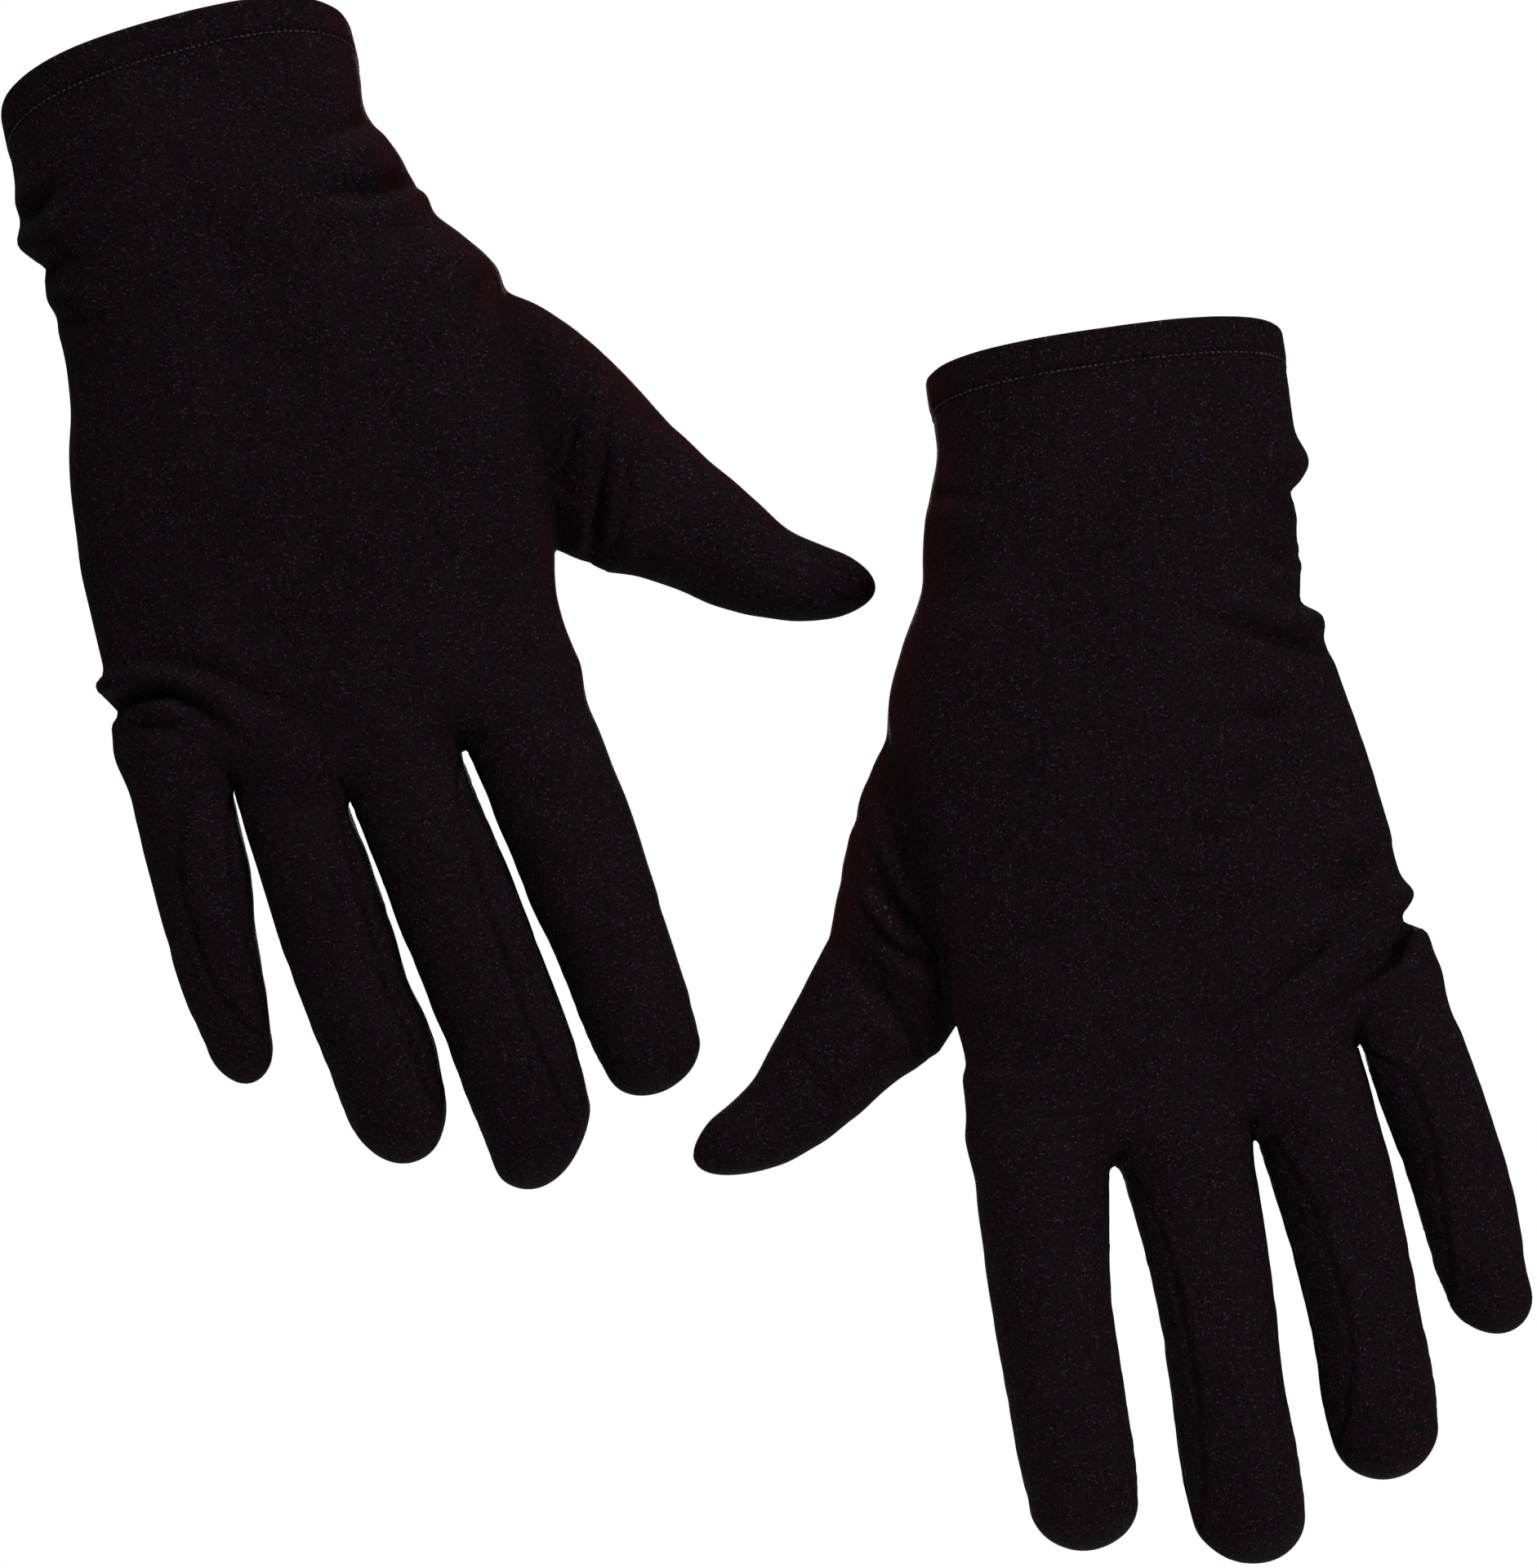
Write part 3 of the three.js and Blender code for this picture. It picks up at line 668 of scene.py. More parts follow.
def wrinkles(glove, made, normal, owner, seed):
    """How far out each point of the smooth surface moves, in millimetres."""
    u, t, n = made.T
    back, palm = smooth((3 - n) / 8), smooth((n - 3) / 8)
    push = np.zeros(len(made))
    for fold in glove["folds"]:
        push += FOLD_STRENGTH * line_push(u, t, fold) * back
    for u0, t0 in glove["forks"]:
        hook = [(u0 + dx, t0 + dy) for dx, dy in FORK_HOOK]
        push += line_push(u, t, crease(FORK_HOOK_DEPTH, FORK_HOOK_WIDTH, *hook, fade=0.7)) * back
    for fold in PALM_FOLDS:
        push += line_push(u, t * PALM_FOLDS_MADE_FOR / glove["forks"][0][1], fold) * palm
    little_side = smooth((-normal[:, 0] - 0.25) / 0.6)
    for place, length, height in glove["side_bumps"]:
        push += height * little_side * np.exp(-((t - place) / length) ** 2)
    push *= np.where(owner == 0, 1, FOLDS_ON_FINGERS)
    push[owner == THUMB] = 0
    for i, name in enumerate(FINGERS):
        s, x = into_finger(glove, name, made)
        mine = owner == i + 1
        push = np.where(mine, push * (1 - smooth((s - 4) / 14)), push)
        for share, depth in JOINT_FOLDS:
            d = s - share * glove["fingers"][name]["length"] - 0.04 * x ** 2
            ring = np.exp(-((np.abs(d) - 3.2) / 2.2) ** 2) * 0.35 - np.exp(-(d / 1.8) ** 2)
            push += np.where(mine, depth * ring * (0.15 + 0.85 * palm), 0)
    s, x, through = thumb_place(glove, made)
    kept = 1 - (1 - glove["thumb_edge_folds"]) * smooth((x - 8) / 8)
    kept *= 0.35 + 0.65 * smooth((5 - through) / 9)
    for fold in glove["thumb_folds"]:
        push += np.where(owner == THUMB, FOLD_STRENGTH * line_push(s, x, fold) * kept, 0)
    return push + 0.16 * noise(made, 17, seed) + 0.07 * noise(made, 7, seed + 1)


# ---- One glove: surface, seams and pieces ----

def strip_value(glove, name, edge, made):
    """Positive on a finger's side strip, in millimetres from its seams."""
    finger = glove["fingers"][name]
    s, x = into_finger(glove, name, made)
    x = x - spread_of(name, s)
    centre, half, thick, lean, _ = finger_shape(finger, s)
    angle = np.arctan2((x - centre) / half, -(made[:, 2] - lean) / thick)   # 0 at the back
    if edge == "thumb_side" and "seam" in finger:
        seam = np.arcsin(np.clip(curve(finger["seam"], s), -1, 0.97))
        width = STRIP_WIDTH / (half * 0.95)
        middle = seam + width / 2
    elif edge == "thumb_side":
        middle, width = math.pi / 2, STRIP_WIDTH / half
    else:
        middle, width = -math.pi * STRIP_MIDDLE, STRIP_WIDTH / half
    end = finger["length"] - STRIP_STOPS_SHORT
    taper = np.sqrt(np.clip(1 - (np.clip(s, 0, None) / end) ** 6, 0, 1)) - 4 * np.clip(s / end - 1, 0, 1)
    taper = taper * np.clip(1 + (s + 12) / 6, -1, 1)
    away = np.abs(np.angle(np.exp(1j * (angle - middle))))
    return (width / 2 * taper - away) * half


def root_cut(glove, name):
    """The line s = a + b x where a finger's pieces start, just past the forks beside it."""
    i = FINGERS.index(name)
    places = []
    for u, t in glove["forks"][max(i - 1, 0):i + 1][::-1]:
        s, x = into_finger(glove, name, np.array([u, t, 0.0]))
        places.append((float(s) + CUT_PAST_FORK, float(x)))
    if len(places) == 1:
        return places[0][0], 0.0
    (s1, x1), (s2, x2) = places
    b = (s2 - s1) / (x2 - x1)
    return s1 - b * x1, b


def past_root(glove, name, made):
    """Positive on a finger's own pieces, zero along the cut at its root."""
    a, b = root_cut(glove, name)
    s, x = into_finger(glove, name, made)
    return s - a - b * (x - spread_of(name, s))


def make_mesh(name, points, faces, loop_normals, grain, painted_light_marks):
    mesh = bpy.data.meshes.new(name)
    mesh.vertices.add(len(points))
    mesh.vertices.foreach_set("co", points.astype(np.float32).ravel())
    mesh.loops.add(faces.size)
    mesh.loops.foreach_set("vertex_index", faces.astype(np.int32).ravel())
    mesh.polygons.add(len(faces))
    mesh.polygons.foreach_set("loop_start", np.arange(0, faces.size, 3, dtype=np.int32))
    mesh.polygons.foreach_set("use_smooth", np.ones(len(faces), bool))
    mesh.update(calc_edges=True)
    # seam carries painted shade along the seams, and the second attribute painted reddish light on the
    # thumb-side flank
    for key, kind, values in (("grain", "FLOAT_VECTOR", grain), ("seam", "FLOAT", painted_light_marks[:, 0]),
                              ("painted_red_edge_light", "FLOAT", painted_light_marks[:, 1])):
        layer = mesh.attributes.new(key, kind, "POINT")
        layer.data.foreach_set("vector" if kind == "FLOAT_VECTOR" else "value",
                               values.astype(np.float32).ravel())
    mesh.validate()
    if len(mesh.loops) == len(loop_normals):
        mesh.normals_split_custom_set(loop_normals.astype(np.float32))
    piece = bpy.data.objects.new(name, mesh)
    bpy.context.scene.collection.objects.link(piece)
    return piece


def boundary_of(faces):
    """Directed edges that only one face uses."""
    pairs = np.concatenate([faces[:, [i, (i + 1) % 3]] for i in range(3)])
    keys = np.sort(pairs, 1)
    _, index, count = np.unique(keys, axis=0, return_index=True, return_counts=True)
    return pairs[index[count == 1]]


def shell(name, glove, verts, normal, faces, outer, inner, grain, painted_light_marks, turned=None):
    """A piece of cloth as a closed shell between two distances in from the surface.

    turned is (true at vertices of the rim, how far in the turned cloth reaches): there the wall
    is a rounded fold instead of a cut edge."""
    used = np.unique(faces)
    place = np.full(len(verts), -1)
    place[used] = np.arange(len(used))
    tri = place[faces]
    v, nrm = verts[used], normal[used]
    n = len(used)
    edges = boundary_of(tri)
    points = [v - nrm * outer, v - nrm * inner]
    source = [np.arange(n), np.arange(n)]
    all_faces = [tri, tri[:, ::-1] + n]
    out_normals = [nrm[tri].reshape(-1, 3), -nrm[tri[:, ::-1]].reshape(-1, 3)]
    folded = np.zeros(len(edges), bool)
    if turned is not None:
        on_rim, reach = turned
        folded = on_rim[used][edges].all(1)
        up = np.array([0, -1.0, 0])
        steps = RIM_ROLL_STEPS
        at = np.unique(edges[folded])
        first = 2 * n
        ring_index = np.full((steps + 1, n), -1)
        ring_index[0] = np.arange(n)
        arc_normals = [nrm]
        for k in range(1, steps + 1):
            a = math.pi * k / steps
            across = outer + (reach - outer) * (1 - math.cos(a)) / 2
            high = (reach - outer) / 2 * math.sin(a)
            ring_index[k, at] = first + np.arange(len(at))
            points.append(v[at] - nrm[at] * across + up * high)
            source.append(at)
            arc_normals.append(nrm * math.cos(a) + up * math.sin(a))
            first += len(at)
        a, b = edges[folded].T
        for k in range(steps):
            p, q, r, s = ring_index[k, b], ring_index[k, a], ring_index[k + 1, a], ring_index[k + 1, b]
            na, nb = arc_normals[k], arc_normals[k + 1]
            all_faces += [np.stack([p, q, r], 1), np.stack([p, r, s], 1)]
            out_normals += [np.stack([na[b], na[a], nb[a]], 1).reshape(-1, 3),
                            np.stack([na[b], nb[a], nb[b]], 1).reshape(-1, 3)]
        p, q, r, s = ring_index[steps, b], ring_index[steps, a], a + n, b + n
        down = np.broadcast_to(-up, (len(a) * 3, 3))
        all_faces += [np.stack([p, q, r], 1), np.stack([p, r, s], 1)]
        out_normals += [down, down]
    a, b = edges[~folded].T
    wall = unit(np.cross(v[b] - v[a], nrm[a]))
    all_faces += [np.stack([b, a, a + n], 1), np.stack([b, a + n, b + n], 1)]
    out_normals += [np.repeat(wall, 3, 0), np.repeat(wall, 3, 0)]
    points, source = np.concatenate(points), np.concatenate(source)
    tris = np.concatenate(all_faces)
    normals = np.concatenate(out_normals)
    if glove["thumb_side"] < 0:   # the left glove is mirrored, so its faces turn over
        order = np.array([0, 2, 1])
        tris = tris[:, order]
        normals = normals.reshape(-1, 3, 3)[:, order].reshape(-1, 3)
    return make_mesh(name, glove_to_frame(glove, points), tris, direction_to_frame(glove, normals),
                     grain[used][source], painted_light_marks[used][source])


def grain_of(glove, made, owner):
    """Where each point lies in the knit, in millimetres: across the wales, along them, through."""
    out = made.copy()
    for i, name in enumerate(FINGERS):
        s, x = into_finger(glove, name, made)
        along = s + glove["fingers"][name]["web"]
        out = np.where((owner == i + 1)[:, None], np.stack([x, along, made[:, 2]], 1), out)
    s, x, n = thumb_place(glove, made)
    return np.where((owner == THUMB)[:, None], np.stack([x, s, n], 1), out)


def loop_through(faces, value):
    """Points in order round the closed line where value is zero, on vertices that lie on it."""
    low = faces[value[faces].sum(1) < 0]
    edges = boundary_of(low)
    edges = edges[(np.abs(value[edges]) < 1e-9).all(1)]
    following = dict(edges.tolist())
    start = edges[0, 0]
    order, here = [start], following[start]
    while here != start and len(order) <= len(edges):
        order.append(here)
        here = following[here]
    return np.array(order)


def capsule(sides=6, rings=4):
    """A unit stitch: length 1 along x from -0.5 to 0.5, radius 1 across it."""
    points, faces = [(-0.5, 0, 0)], []
    for i in range(1, rings):
        a = math.pi * i / rings
        r, x = math.sin(a) ** 0.6, -0.5 * math.cos(a)
        points += [(x, r * math.cos(2 * math.pi * k / sides), r * math.sin(2 * math.pi * k / sides))
                   for k in range(sides)]
    points.append((0.5, 0, 0))
    last = len(points) - 1
    for k in range(sides):
        m = (k + 1) % sides
        faces.append((0, 1 + m, 1 + k))
        for i in range(rings - 2):
            a, b = 1 + i * sides, 1 + (i + 1) * sides
            faces += [(a + k, a + m, b + m), (a + k, b + m, b + k)]
        top = 1 + (rings - 2) * sides
        faces.append((top + k, top + m, last))
    return np.array(points, float), np.array(faces)


def stitches(name, glove, path, out):
    """One row of stitches along a closed path on the cloth."""
    step = np.linalg.norm(np.roll(path, -1, 0) - path, axis=1)
    length = np.concatenate([[0], np.cumsum(step)])
    count = int(round(length[-1] / STITCH_PITCH))
    closed = np.concatenate([path, path[:1]])
    normals = np.concatenate([out, out[:1]])
    at = (np.arange(count) + 0.5) * length[-1] / count

    def read(rows, where):
        return np.stack([np.interp(where, length, rows[:, i]) for i in range(3)], 1)

    here = read(closed, at)
    along = unit(read(closed, (at + 0.3) % length[-1]) - here)
    up = read(normals, at)
    up = unit(up - along * (up * along).sum(1, keepdims=True))
    side = np.cross(along, up)
    one, faces = capsule()
    scale = one * np.array([STITCH_LENGTH, STITCH_RADIUS, STITCH_RADIUS])
    frames = np.stack([along, side, up], 1)
    points = here[:, None] + up[:, None] * STITCH_RADIUS * 0.35 + np.einsum("pk,nkj->npj", scale, frames)
    tris = faces[None] + (np.arange(count) * len(one))[:, None, None]
    round_out = unit(one * np.array([0.6, 1, 1]))
    normals = np.einsum("pk,nkj->npj", round_out, frames).reshape(-1, 3)
    points, tris = points.reshape(-1, 3), tris.reshape(-1, 3)
    grain = np.stack([np.repeat(at, len(one)), np.tile(one[:, 1], count), np.tile(one[:, 2], count)], 1)
    a, b, c = (points[tris[:, i]] for i in range(3))
    if ((a * np.cross(b, c)).sum() < 0) == (glove["thumb_side"] > 0):   # faces out after any mirroring
        tris = tris[:, ::-1]
    return make_mesh(name, glove_to_frame(glove, points), tris,
                     direction_to_frame(glove, normals[tris.ravel()]), grain, np.zeros((len(points), 2)))


def down_from_rim(glove, made):
    return made @ np.array([0, 1, -glove["rim_rise"] / HAND_BACK[0][1]]) - RIM_ROLL


def fields(glove, made):
    """The fields of the hand, of each finger and of the thumb."""
    each = np.array([finger_field(glove, name, made) for name in FINGERS])
    return hand_field(glove, made), each, thumb_field(glove, made)


def thumb_gap(glove, made):
    """Positive on the thumb's own cloth, zero along the seam round its root."""
    hand, each, thumb = fields(glove, made)
    return np.minimum(hand, each.min(0)) - thumb


def owners(glove, made):
    """0 for the hand's points, 1 to 4 for a finger's and THUMB for the thumb's."""
    hand, each, thumb = fields(glove, made)
    nearest = each.argmin(0) + 1
    owner = np.zeros(len(made), int)
    for i, name in enumerate(FINGERS):
        s, _ = into_finger(glove, name, made)
        owner[(nearest == i + 1) & (s > FINGER_FROM) & (each[i] < FINGER_WITHIN)] = i + 1
    owner[thumb < np.minimum(hand, each.min(0))] = THUMB
    return owner


def cut_on_finger(glove, surface, name, value):
    mine = owners(glove, surface.verts) == FINGERS.index(name) + 1
    surface.cut(np.where(mine, value, -np.abs(value) - 0.5))


def cut_seams(glove, surface):
    """Takes off what lies above the rim, and cuts along the hem's two lines and every seam."""
    surface.cut(down_from_rim(glove, surface.verts), near=0.3)
    below = down_from_rim(glove, surface.verts)[surface.faces].sum(1) > 0
    surface.faces = surface.faces[below]
    for depth in (HEM, STITCH_LINE):
        surface.cut(down_from_rim(glove, surface.verts) - depth)
    surface.cut(thumb_gap(glove, surface.verts))
    for name in FINGERS:
        cut_on_finger(glove, surface, name, past_root(glove, name, surface.verts))
        for edge in STRIPS[name]:
            cut_on_finger(glove, surface, name, strip_value(glove, name, edge, surface.verts))


def seam_relief(push, n, distance, near_thumb, rim_down):
    """push with the seams, the thumb's tuck and the hem added, and how much painted shade each point gets
    from the seams, the thumb's tuck and the hem's stitches.
    """
    seam = np.exp(-(distance / SEAM_WIDTH) ** 2)
    push = push * (1 - 0.4 * seam) - SEAM_DEPTH * seam
    tuck = np.exp(-(near_thumb / THUMB_TUCK_WIDTH) ** 2) * smooth((4 - n) / 6)
    push -= THUMB_TUCK * tuck
    push += SEAM_PUFF * np.exp(-((distance - SEAM_SHOULDER) / 0.9) ** 2) * (distance < 6)
    stitched = np.exp(-((rim_down - STITCH_LINE) / SEAM_WIDTH) ** 2)
    push += HEM_PUFF * smooth((HEM + 0.4 - rim_down) / 0.8) - STITCH_PULL * stitched
    # the second value is painted shade: how much darker the colour is made in the seams' grooves, at the
    # thumb's tuck and along the row of hem stitches
    return push, np.maximum(np.maximum(seam, tuck), 0.7 * stitched)


def brought_together(glove, made, owner):
    """The spread fingers' points, moved to where they are worn."""
    worn = made.copy()
    for i, name in enumerate(FINGERS):
        s, _ = into_finger(glove, name, made)
        _, across = limb_axes(glove["fingers"][name]["turn"])
        worn[:, :2] -= np.where(owner == i + 1, spread_of(name, s), 0)[:, None] * across
    return worn


def make_glove(side, glove):
    surface = Surface(*glove_surface(glove))
    cut_seams(glove, surface)
    made, faces = surface.verts, surface.faces
    owner = owners(glove, made)

    # whose each face is, and how far each point is from a seam
    gap = thumb_gap(glove, made)
    near_thumb = np.abs(gap) * 0.8
    distance = near_thumb
    face_owner = np.where(gap[faces].sum(1) > 0, THUMB, 0)
    strips = {}
    for i, name in enumerate(FINGERS):
        value = past_root(glove, name, made)
        mine = (owner[faces] == i + 1).any(1) & (value[faces].sum(1) > 0) & (face_owner == 0)
        face_owner[mine] = i + 1
        inside = (owner == i + 1) & (value > -1e-6)
        for edge in STRIPS[name]:
            strip = strip_value(glove, name, edge, made)
            strips[name, edge] = mine & (strip[faces].sum(1) > 0)
            distance = np.where(inside, np.minimum(distance, np.abs(strip)), distance)

    # the folds and seams, with the fingers brought together
    normal, _ = gradient(glove, made)
    rim_down = down_from_rim(glove, made)
    push = wrinkles(glove, made, normal, owner, NOISE_SEED[side])
    push, seam = seam_relief(push, made[:, 2], distance, near_thumb, rim_down)
    worn = brought_together(glove, made, owner) + normal * push[:, None]
    smooth_normal = vertex_normals(worn, faces)
    grain = grain_of(glove, made, owner)
    # painted reddish light on the thumb side's cloth that faces out sideways, above the fingers
    painted_red_edge_light = (smooth((normal[:, 0] - 0.45) / 0.5) * smooth((150 - made[:, 1]) / 60)
           * smooth((made[:, 0] - 22) / 12))
    # painted light for the shader: shade along the seams, and reddish light on the thumb-side flank
    painted_light_marks = np.stack([seam, painted_red_edge_light], 1)
    pieces = {}

    def add(label, mask, outer=0.0, inner=CLOTH, turned=None):
        pieces[label] = shell(f"{side}_{label}_knit", glove, worn, smooth_normal, faces[mask],
                              outer, inner, grain, painted_light_marks, turned)

    add("trank", face_owner == 0, turned=(np.abs(rim_down) < 1e-6, 2 * RIM_ROLL))
    add("thumb", face_owner == THUMB)
    for i, name in enumerate(FINGERS):
        sleeve = face_owner == i + 1
        for edge in STRIPS[name]:
            add(f"{name}_fourchette_{edge}", strips[name, edge])
            sleeve &= ~strips[name, edge]
        add(f"{name}_sleeve", sleeve)
    in_hem = (face_owner == 0) & ((rim_down - HEM)[faces].sum(1) < 0)
    add("hem_fold", in_hem, CLOTH + HEM_GAP, 2 * CLOTH + HEM_GAP)
    line = loop_through(faces, rim_down - STITCH_LINE)
    name = f"{side}_hem_stitching_thread"
    pieces["hem_stitching"] = stitches(name, glove, worn[line], smooth_normal[line])
    return pieces


# ---- Materials ----

class Shader:
    """Short ways to add nodes to a material."""

    def __init__(self, name):
        self.material = bpy.data.materials.new(name)
        self.material.use_nodes = True
        self.tree = self.material.node_tree
        self.surface = self.tree.nodes["Principled BSDF"]

    def put(self, target, value):
        if isinstance(value, bpy.types.NodeSocket):
            self.tree.links.new(value, target)
        else:
            target.default_value = value

    def node(self, kind, inputs=(), **settings):
        made = self.tree.nodes.new(kind)
        for key, value in settings.items():
            setattr(made, key, value)
        for key, value in dict(inputs).items():
            self.put(made.inputs[key], value)
        return made

    def math(self, operation, a, b=0.0, c=0.0):
        return self.node("ShaderNodeMath", {0: a, 1: b, 2: c}, operation=operation).outputs[0]

    def scaled(self, vector, scale):
        return self.node("ShaderNodeVectorMath", {0: vector, 1: scale}, operation="MULTIPLY").outputs[0]

    def attribute(self, name, output="Vector"):
        return self.node("ShaderNodeAttribute", attribute_name=name).outputs[output]

    def noise(self, grain, sizes, detail=1.0):
        """Noise whose patches have about these sizes along the three directions of grain."""
        vector = self.scaled(grain, tuple(1 / size for size in sizes))
        return self.node("ShaderNodeTexNoise", {"Vector": vector, "Scale": 1.0, "Detail": detail,
                                                "Roughness": 0.6}).outputs["Fac"]

    def mix(self, share, a, b):
        return self.node("ShaderNodeMix", {0: share, 6: a, 7: b}, data_type="RGBA").outputs[2]

    def look(self, inputs):
        """Sets inputs of the surface itself."""
        for key, value in inputs.items():
            self.put(self.surface.inputs[key], value)

    def step(self, value, low, high):
        return self.node("ShaderNodeMapRange", {"Value": value, "From Min": low, "From Max": high},
                         interpolation_type="SMOOTHSTEP").outputs["Result"]


def darker(colour, share):
    return tuple(share * c for c in colour)


def knit_material(name, shade, wale=0.42, course=0.62):
    """A fine black jersey: rows of tiny loops, a loose fuzz of fibres and a few that catch the light, with
    painted shade along the seams and painted reddish light on the thumb-side flank.
    """
    m = Shader(name)
    grain = m.attribute("grain")
    seam = m.attribute("seam", "Fac")
    loops = m.noise(grain, (wale, course, wale))
    streaks = m.noise(grain, (0.8, 9.0, 0.8), 2.0)
    cloud = m.noise(grain, (14.0, 18.0, 14.0), 2.0)
    cells = m.node("ShaderNodeTexVoronoi", {"Vector": m.scaled(grain, (1 / GLINT_SIZE,) * 3), "Scale": 1.0})
    tone = m.math("ADD", m.math("MULTIPLY", loops, 1.5), m.math("MULTIPLY", streaks, 0.8))
    tone = m.step(m.math("ADD", tone, m.math("MULTIPLY", cloud, 0.7)), 0.9, 2.1)
    colour = m.mix(tone, (*darker(shade, 0.38), 1), (*darker(shade, 1.65), 1))
    colour = m.mix(0.42, colour, m.scaled(cells.outputs["Color"], darker(shade, 2.9)))
    fibre = m.node("ShaderNodeSeparateColor", {"Color": cells.outputs["Color"]})
    bright = m.math("MULTIPLY", m.step(fibre.outputs["Red"], 0.86, 1.0),
                    m.step(cells.outputs["Distance"], 0.7, 0.2))
    glint = m.mix(fibre.outputs["Green"], (0.050, 0.024, 0.044, 1), (0.026, 0.032, 0.060, 1))
    colour = m.mix(m.math("MULTIPLY", bright, 0.42), colour, glint)
    # painted reddish light on the thumb-side flank, where the cloth faces out sideways
    painted_red_edge_share = m.math("MULTIPLY", m.attribute("painted_red_edge_light", "Fac"), 0.6)
    colour = m.mix(painted_red_edge_share, colour, (3.2 * shade[0], 0.7 * shade[1], 0.8 * shade[2], 1))
    # painted shade: darker along the seams' grooves, at the thumb's tuck and along the hem's stitches
    colour = m.mix(m.math("MULTIPLY", seam, 0.45), colour, (*darker(shade, 0.3), 1))
    height = m.math("ADD", m.math("MULTIPLY", loops, 0.9),
                    m.math("MULTIPLY", cells.outputs["Distance"], -0.5))
    bump = m.node("ShaderNodeBump", {"Height": height, "Strength": 0.55, "Distance": 0.00022})
    rough = m.node("ShaderNodeMapRange", {"Value": tone, "To Min": 0.86, "To Max": 0.70})
    m.look({"Base Color": colour, "Roughness": rough.outputs["Result"], "Normal": bump.outputs["Normal"],
            "Specular IOR Level": 0.01, "Sheen Weight": 0.002, "Sheen Roughness": 0.5})
    return m.material


def thread_material():
    m = Shader("sewing_thread")
    grain = m.attribute("grain")
    twist = m.noise(grain, (0.22, 1.25, 1.25))
    shade = m.noise(grain, (5, 10, 10))
    tone = m.step(m.math("ADD", m.math("MULTIPLY", twist, 0.7), shade), 0.5, 1.2)
    bump = m.node("ShaderNodeBump", {"Height": twist, "Strength": 0.5, "Distance": 0.0001})
    m.look({"Base Color": m.mix(tone, (0.002, 0.0015, 0.002, 1), (0.024, 0.018, 0.021, 1)),
            "Normal": bump.outputs["Normal"], "Roughness": 0.55, "Specular IOR Level": 0.04})
    return m.material


# ---- Putting the pair together ----


knit = knit_material("black_knit", BLACK)
side_knit = knit_material("black_side_knit", darker(BLACK, 0.92), wale=0.46)
hem_knit = knit_material("black_hem_knit", darker(BLACK, 0.85))
thread = thread_material()


def dress(piece, material, slot, *nodes):
    piece.data.materials.append(material)
    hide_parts(*nodes)


for side, glove in GLOVES.items():
    pieces = make_glove(side, glove)
    cuff, hand = f"{side}_cuff", f"{side}_hand"
    dress(pieces["trank"], knit, "knit", f"{side}_cuff_panel", f"{side}_trank")
    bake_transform(pieces["trank"])
    dress(pieces["thumb"], knit, "knit", f"{side}_thumb_base", f"{side}_thumb")
    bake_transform(pieces["thumb"])
    dress(pieces["hem_fold"], hem_knit, "hem_knit", f"{side}_hem_fold")
    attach(pieces["hem_fold"], cuff)
    dress(pieces["hem_stitching"], thread, "thread", f"{side}_hem_stitching")
    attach(pieces["hem_stitching"], cuff)
    for name in FINGERS:
        dress(pieces[f"{name}_sleeve"], knit, "knit", f"{side}_{name}_sleeve")
        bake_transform(pieces[f"{name}_sleeve"])
        for edge in STRIPS[name]:
            strip = pieces[f"{name}_fourchette_{edge}"]
            dress(strip, side_knit, "fourchette_knit", f"{side}_{name}_fourchette_{edge}")
            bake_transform(strip)


# ---- Camera, light and floor ----

VIEW_CENTRE = (0.1086, -0.13125)
CAMERA_DISTANCE = 2.4
LENS = 298.5
SENSOR = 36
FLOOR_Z = -0.345
FLOOR_RADIUS = 0.45
FLOOR_SIDES = 96
SKY_LIGHT = 0.3          # the white room seen is brighter than the light that it gives


def aim(thing, at):
    direction = Vector(at) - thing.location
    thing.rotation_euler = direction.to_track_quat("-Z", "Y").to_euler()


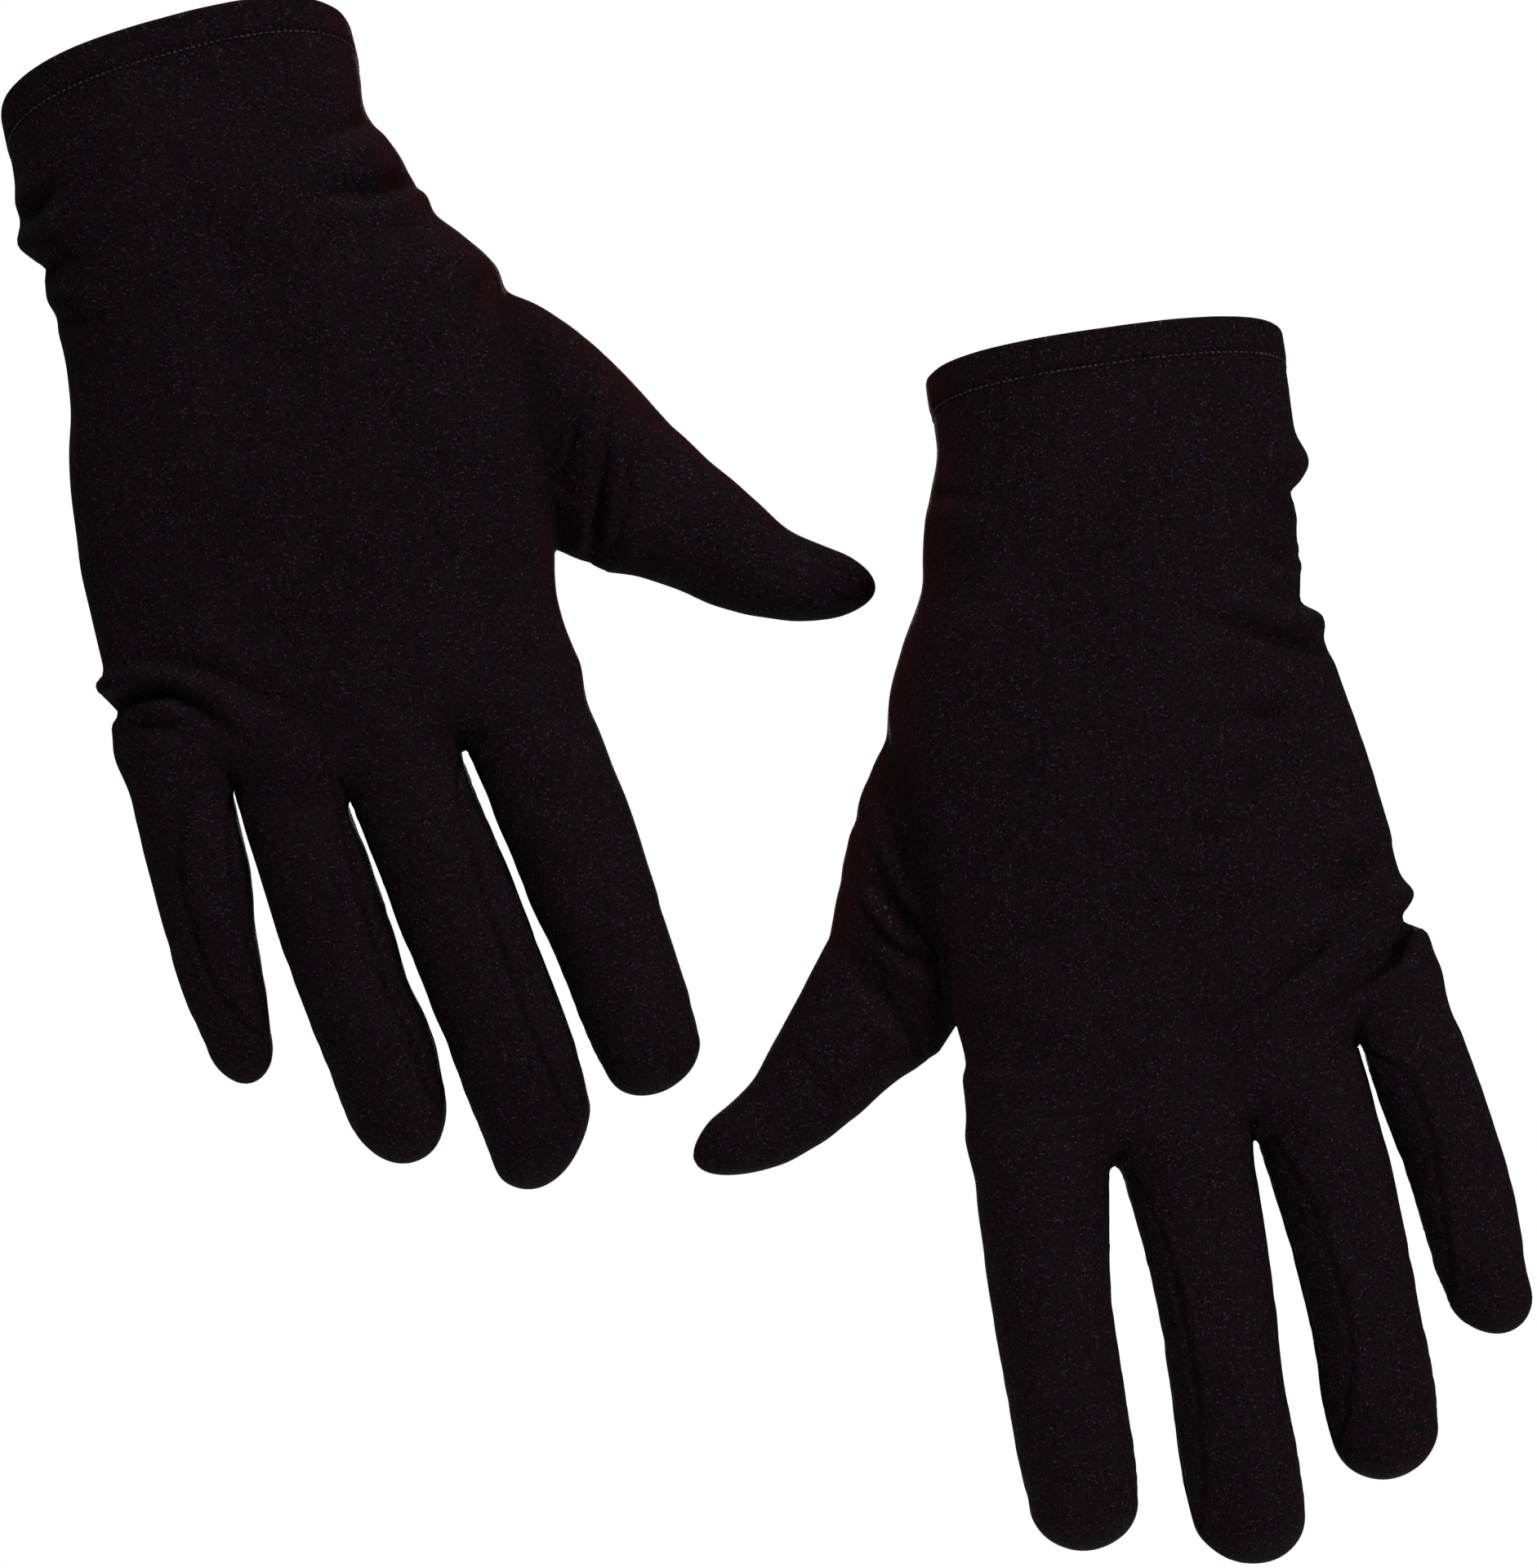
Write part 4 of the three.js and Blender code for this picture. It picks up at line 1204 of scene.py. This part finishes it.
camera_data = bpy.data.cameras.new("camera")
camera_data.lens = LENS
camera_data.sensor_width = SENSOR
camera = bpy.data.objects.new("camera", camera_data)
camera.location = (VIEW_CENTRE[0], -CAMERA_DISTANCE, VIEW_CENTRE[1])
camera.rotation_euler = (math.pi / 2, 0, 0)
bpy.context.scene.collection.objects.link(camera)
bpy.context.scene.camera = camera


def soft_light(name, place, size, power):
    data = bpy.data.lights.new(name, "AREA")
    data.size = size
    data.energy = power
    light = bpy.data.objects.new(name, data)
    light.location = place
    aim(light, (VIEW_CENTRE[0], 0, VIEW_CENTRE[1]))
    bpy.context.scene.collection.objects.link(light)


soft_light("key", (-0.25, -0.62, 1.0), 0.4, 21)
soft_light("fill", (0.95, -0.6, 0.1), 0.5, 12)
soft_light("top", (0.1, -0.05, 0.95), 0.5, 4)
soft_light("back", (0.11, 1.1, -0.05), 0.5, 12)

world = bpy.data.worlds.new("studio")
world.use_nodes = True
sky = world.node_tree.nodes["Background"]
sky.inputs["Color"].default_value = (1, 1, 1, 1)
seen = world.node_tree.nodes.new("ShaderNodeLightPath")
level = world.node_tree.nodes.new("ShaderNodeMapRange")
level.inputs["To Min"].default_value = SKY_LIGHT
level.inputs["To Max"].default_value = 1.0
world.node_tree.links.new(seen.outputs["Is Camera Ray"], level.inputs["Value"])
world.node_tree.links.new(level.outputs["Result"], sky.inputs["Strength"])
bpy.context.scene.world = world
bpy.context.scene.view_settings.view_transform = "Standard"

floor_mesh = bpy.data.meshes.new("floor")
angles = [math.tau * k / FLOOR_SIDES for k in range(FLOOR_SIDES)]
ring = [(VIEW_CENTRE[0] + FLOOR_RADIUS * math.cos(a), FLOOR_RADIUS * math.sin(a), FLOOR_Z) for a in angles]
floor_mesh.from_pydata(ring, [], [tuple(range(FLOOR_SIDES))])
floor = bpy.data.objects.new("floor", floor_mesh)
bpy.context.scene.collection.objects.link(floor)
floor_paint = Shader("pale_floor")
floor_paint.look({"Base Color": (0.82, 0.82, 0.82, 1), "Roughness": 0.8})
floor_mesh.materials.append(floor_paint.material)
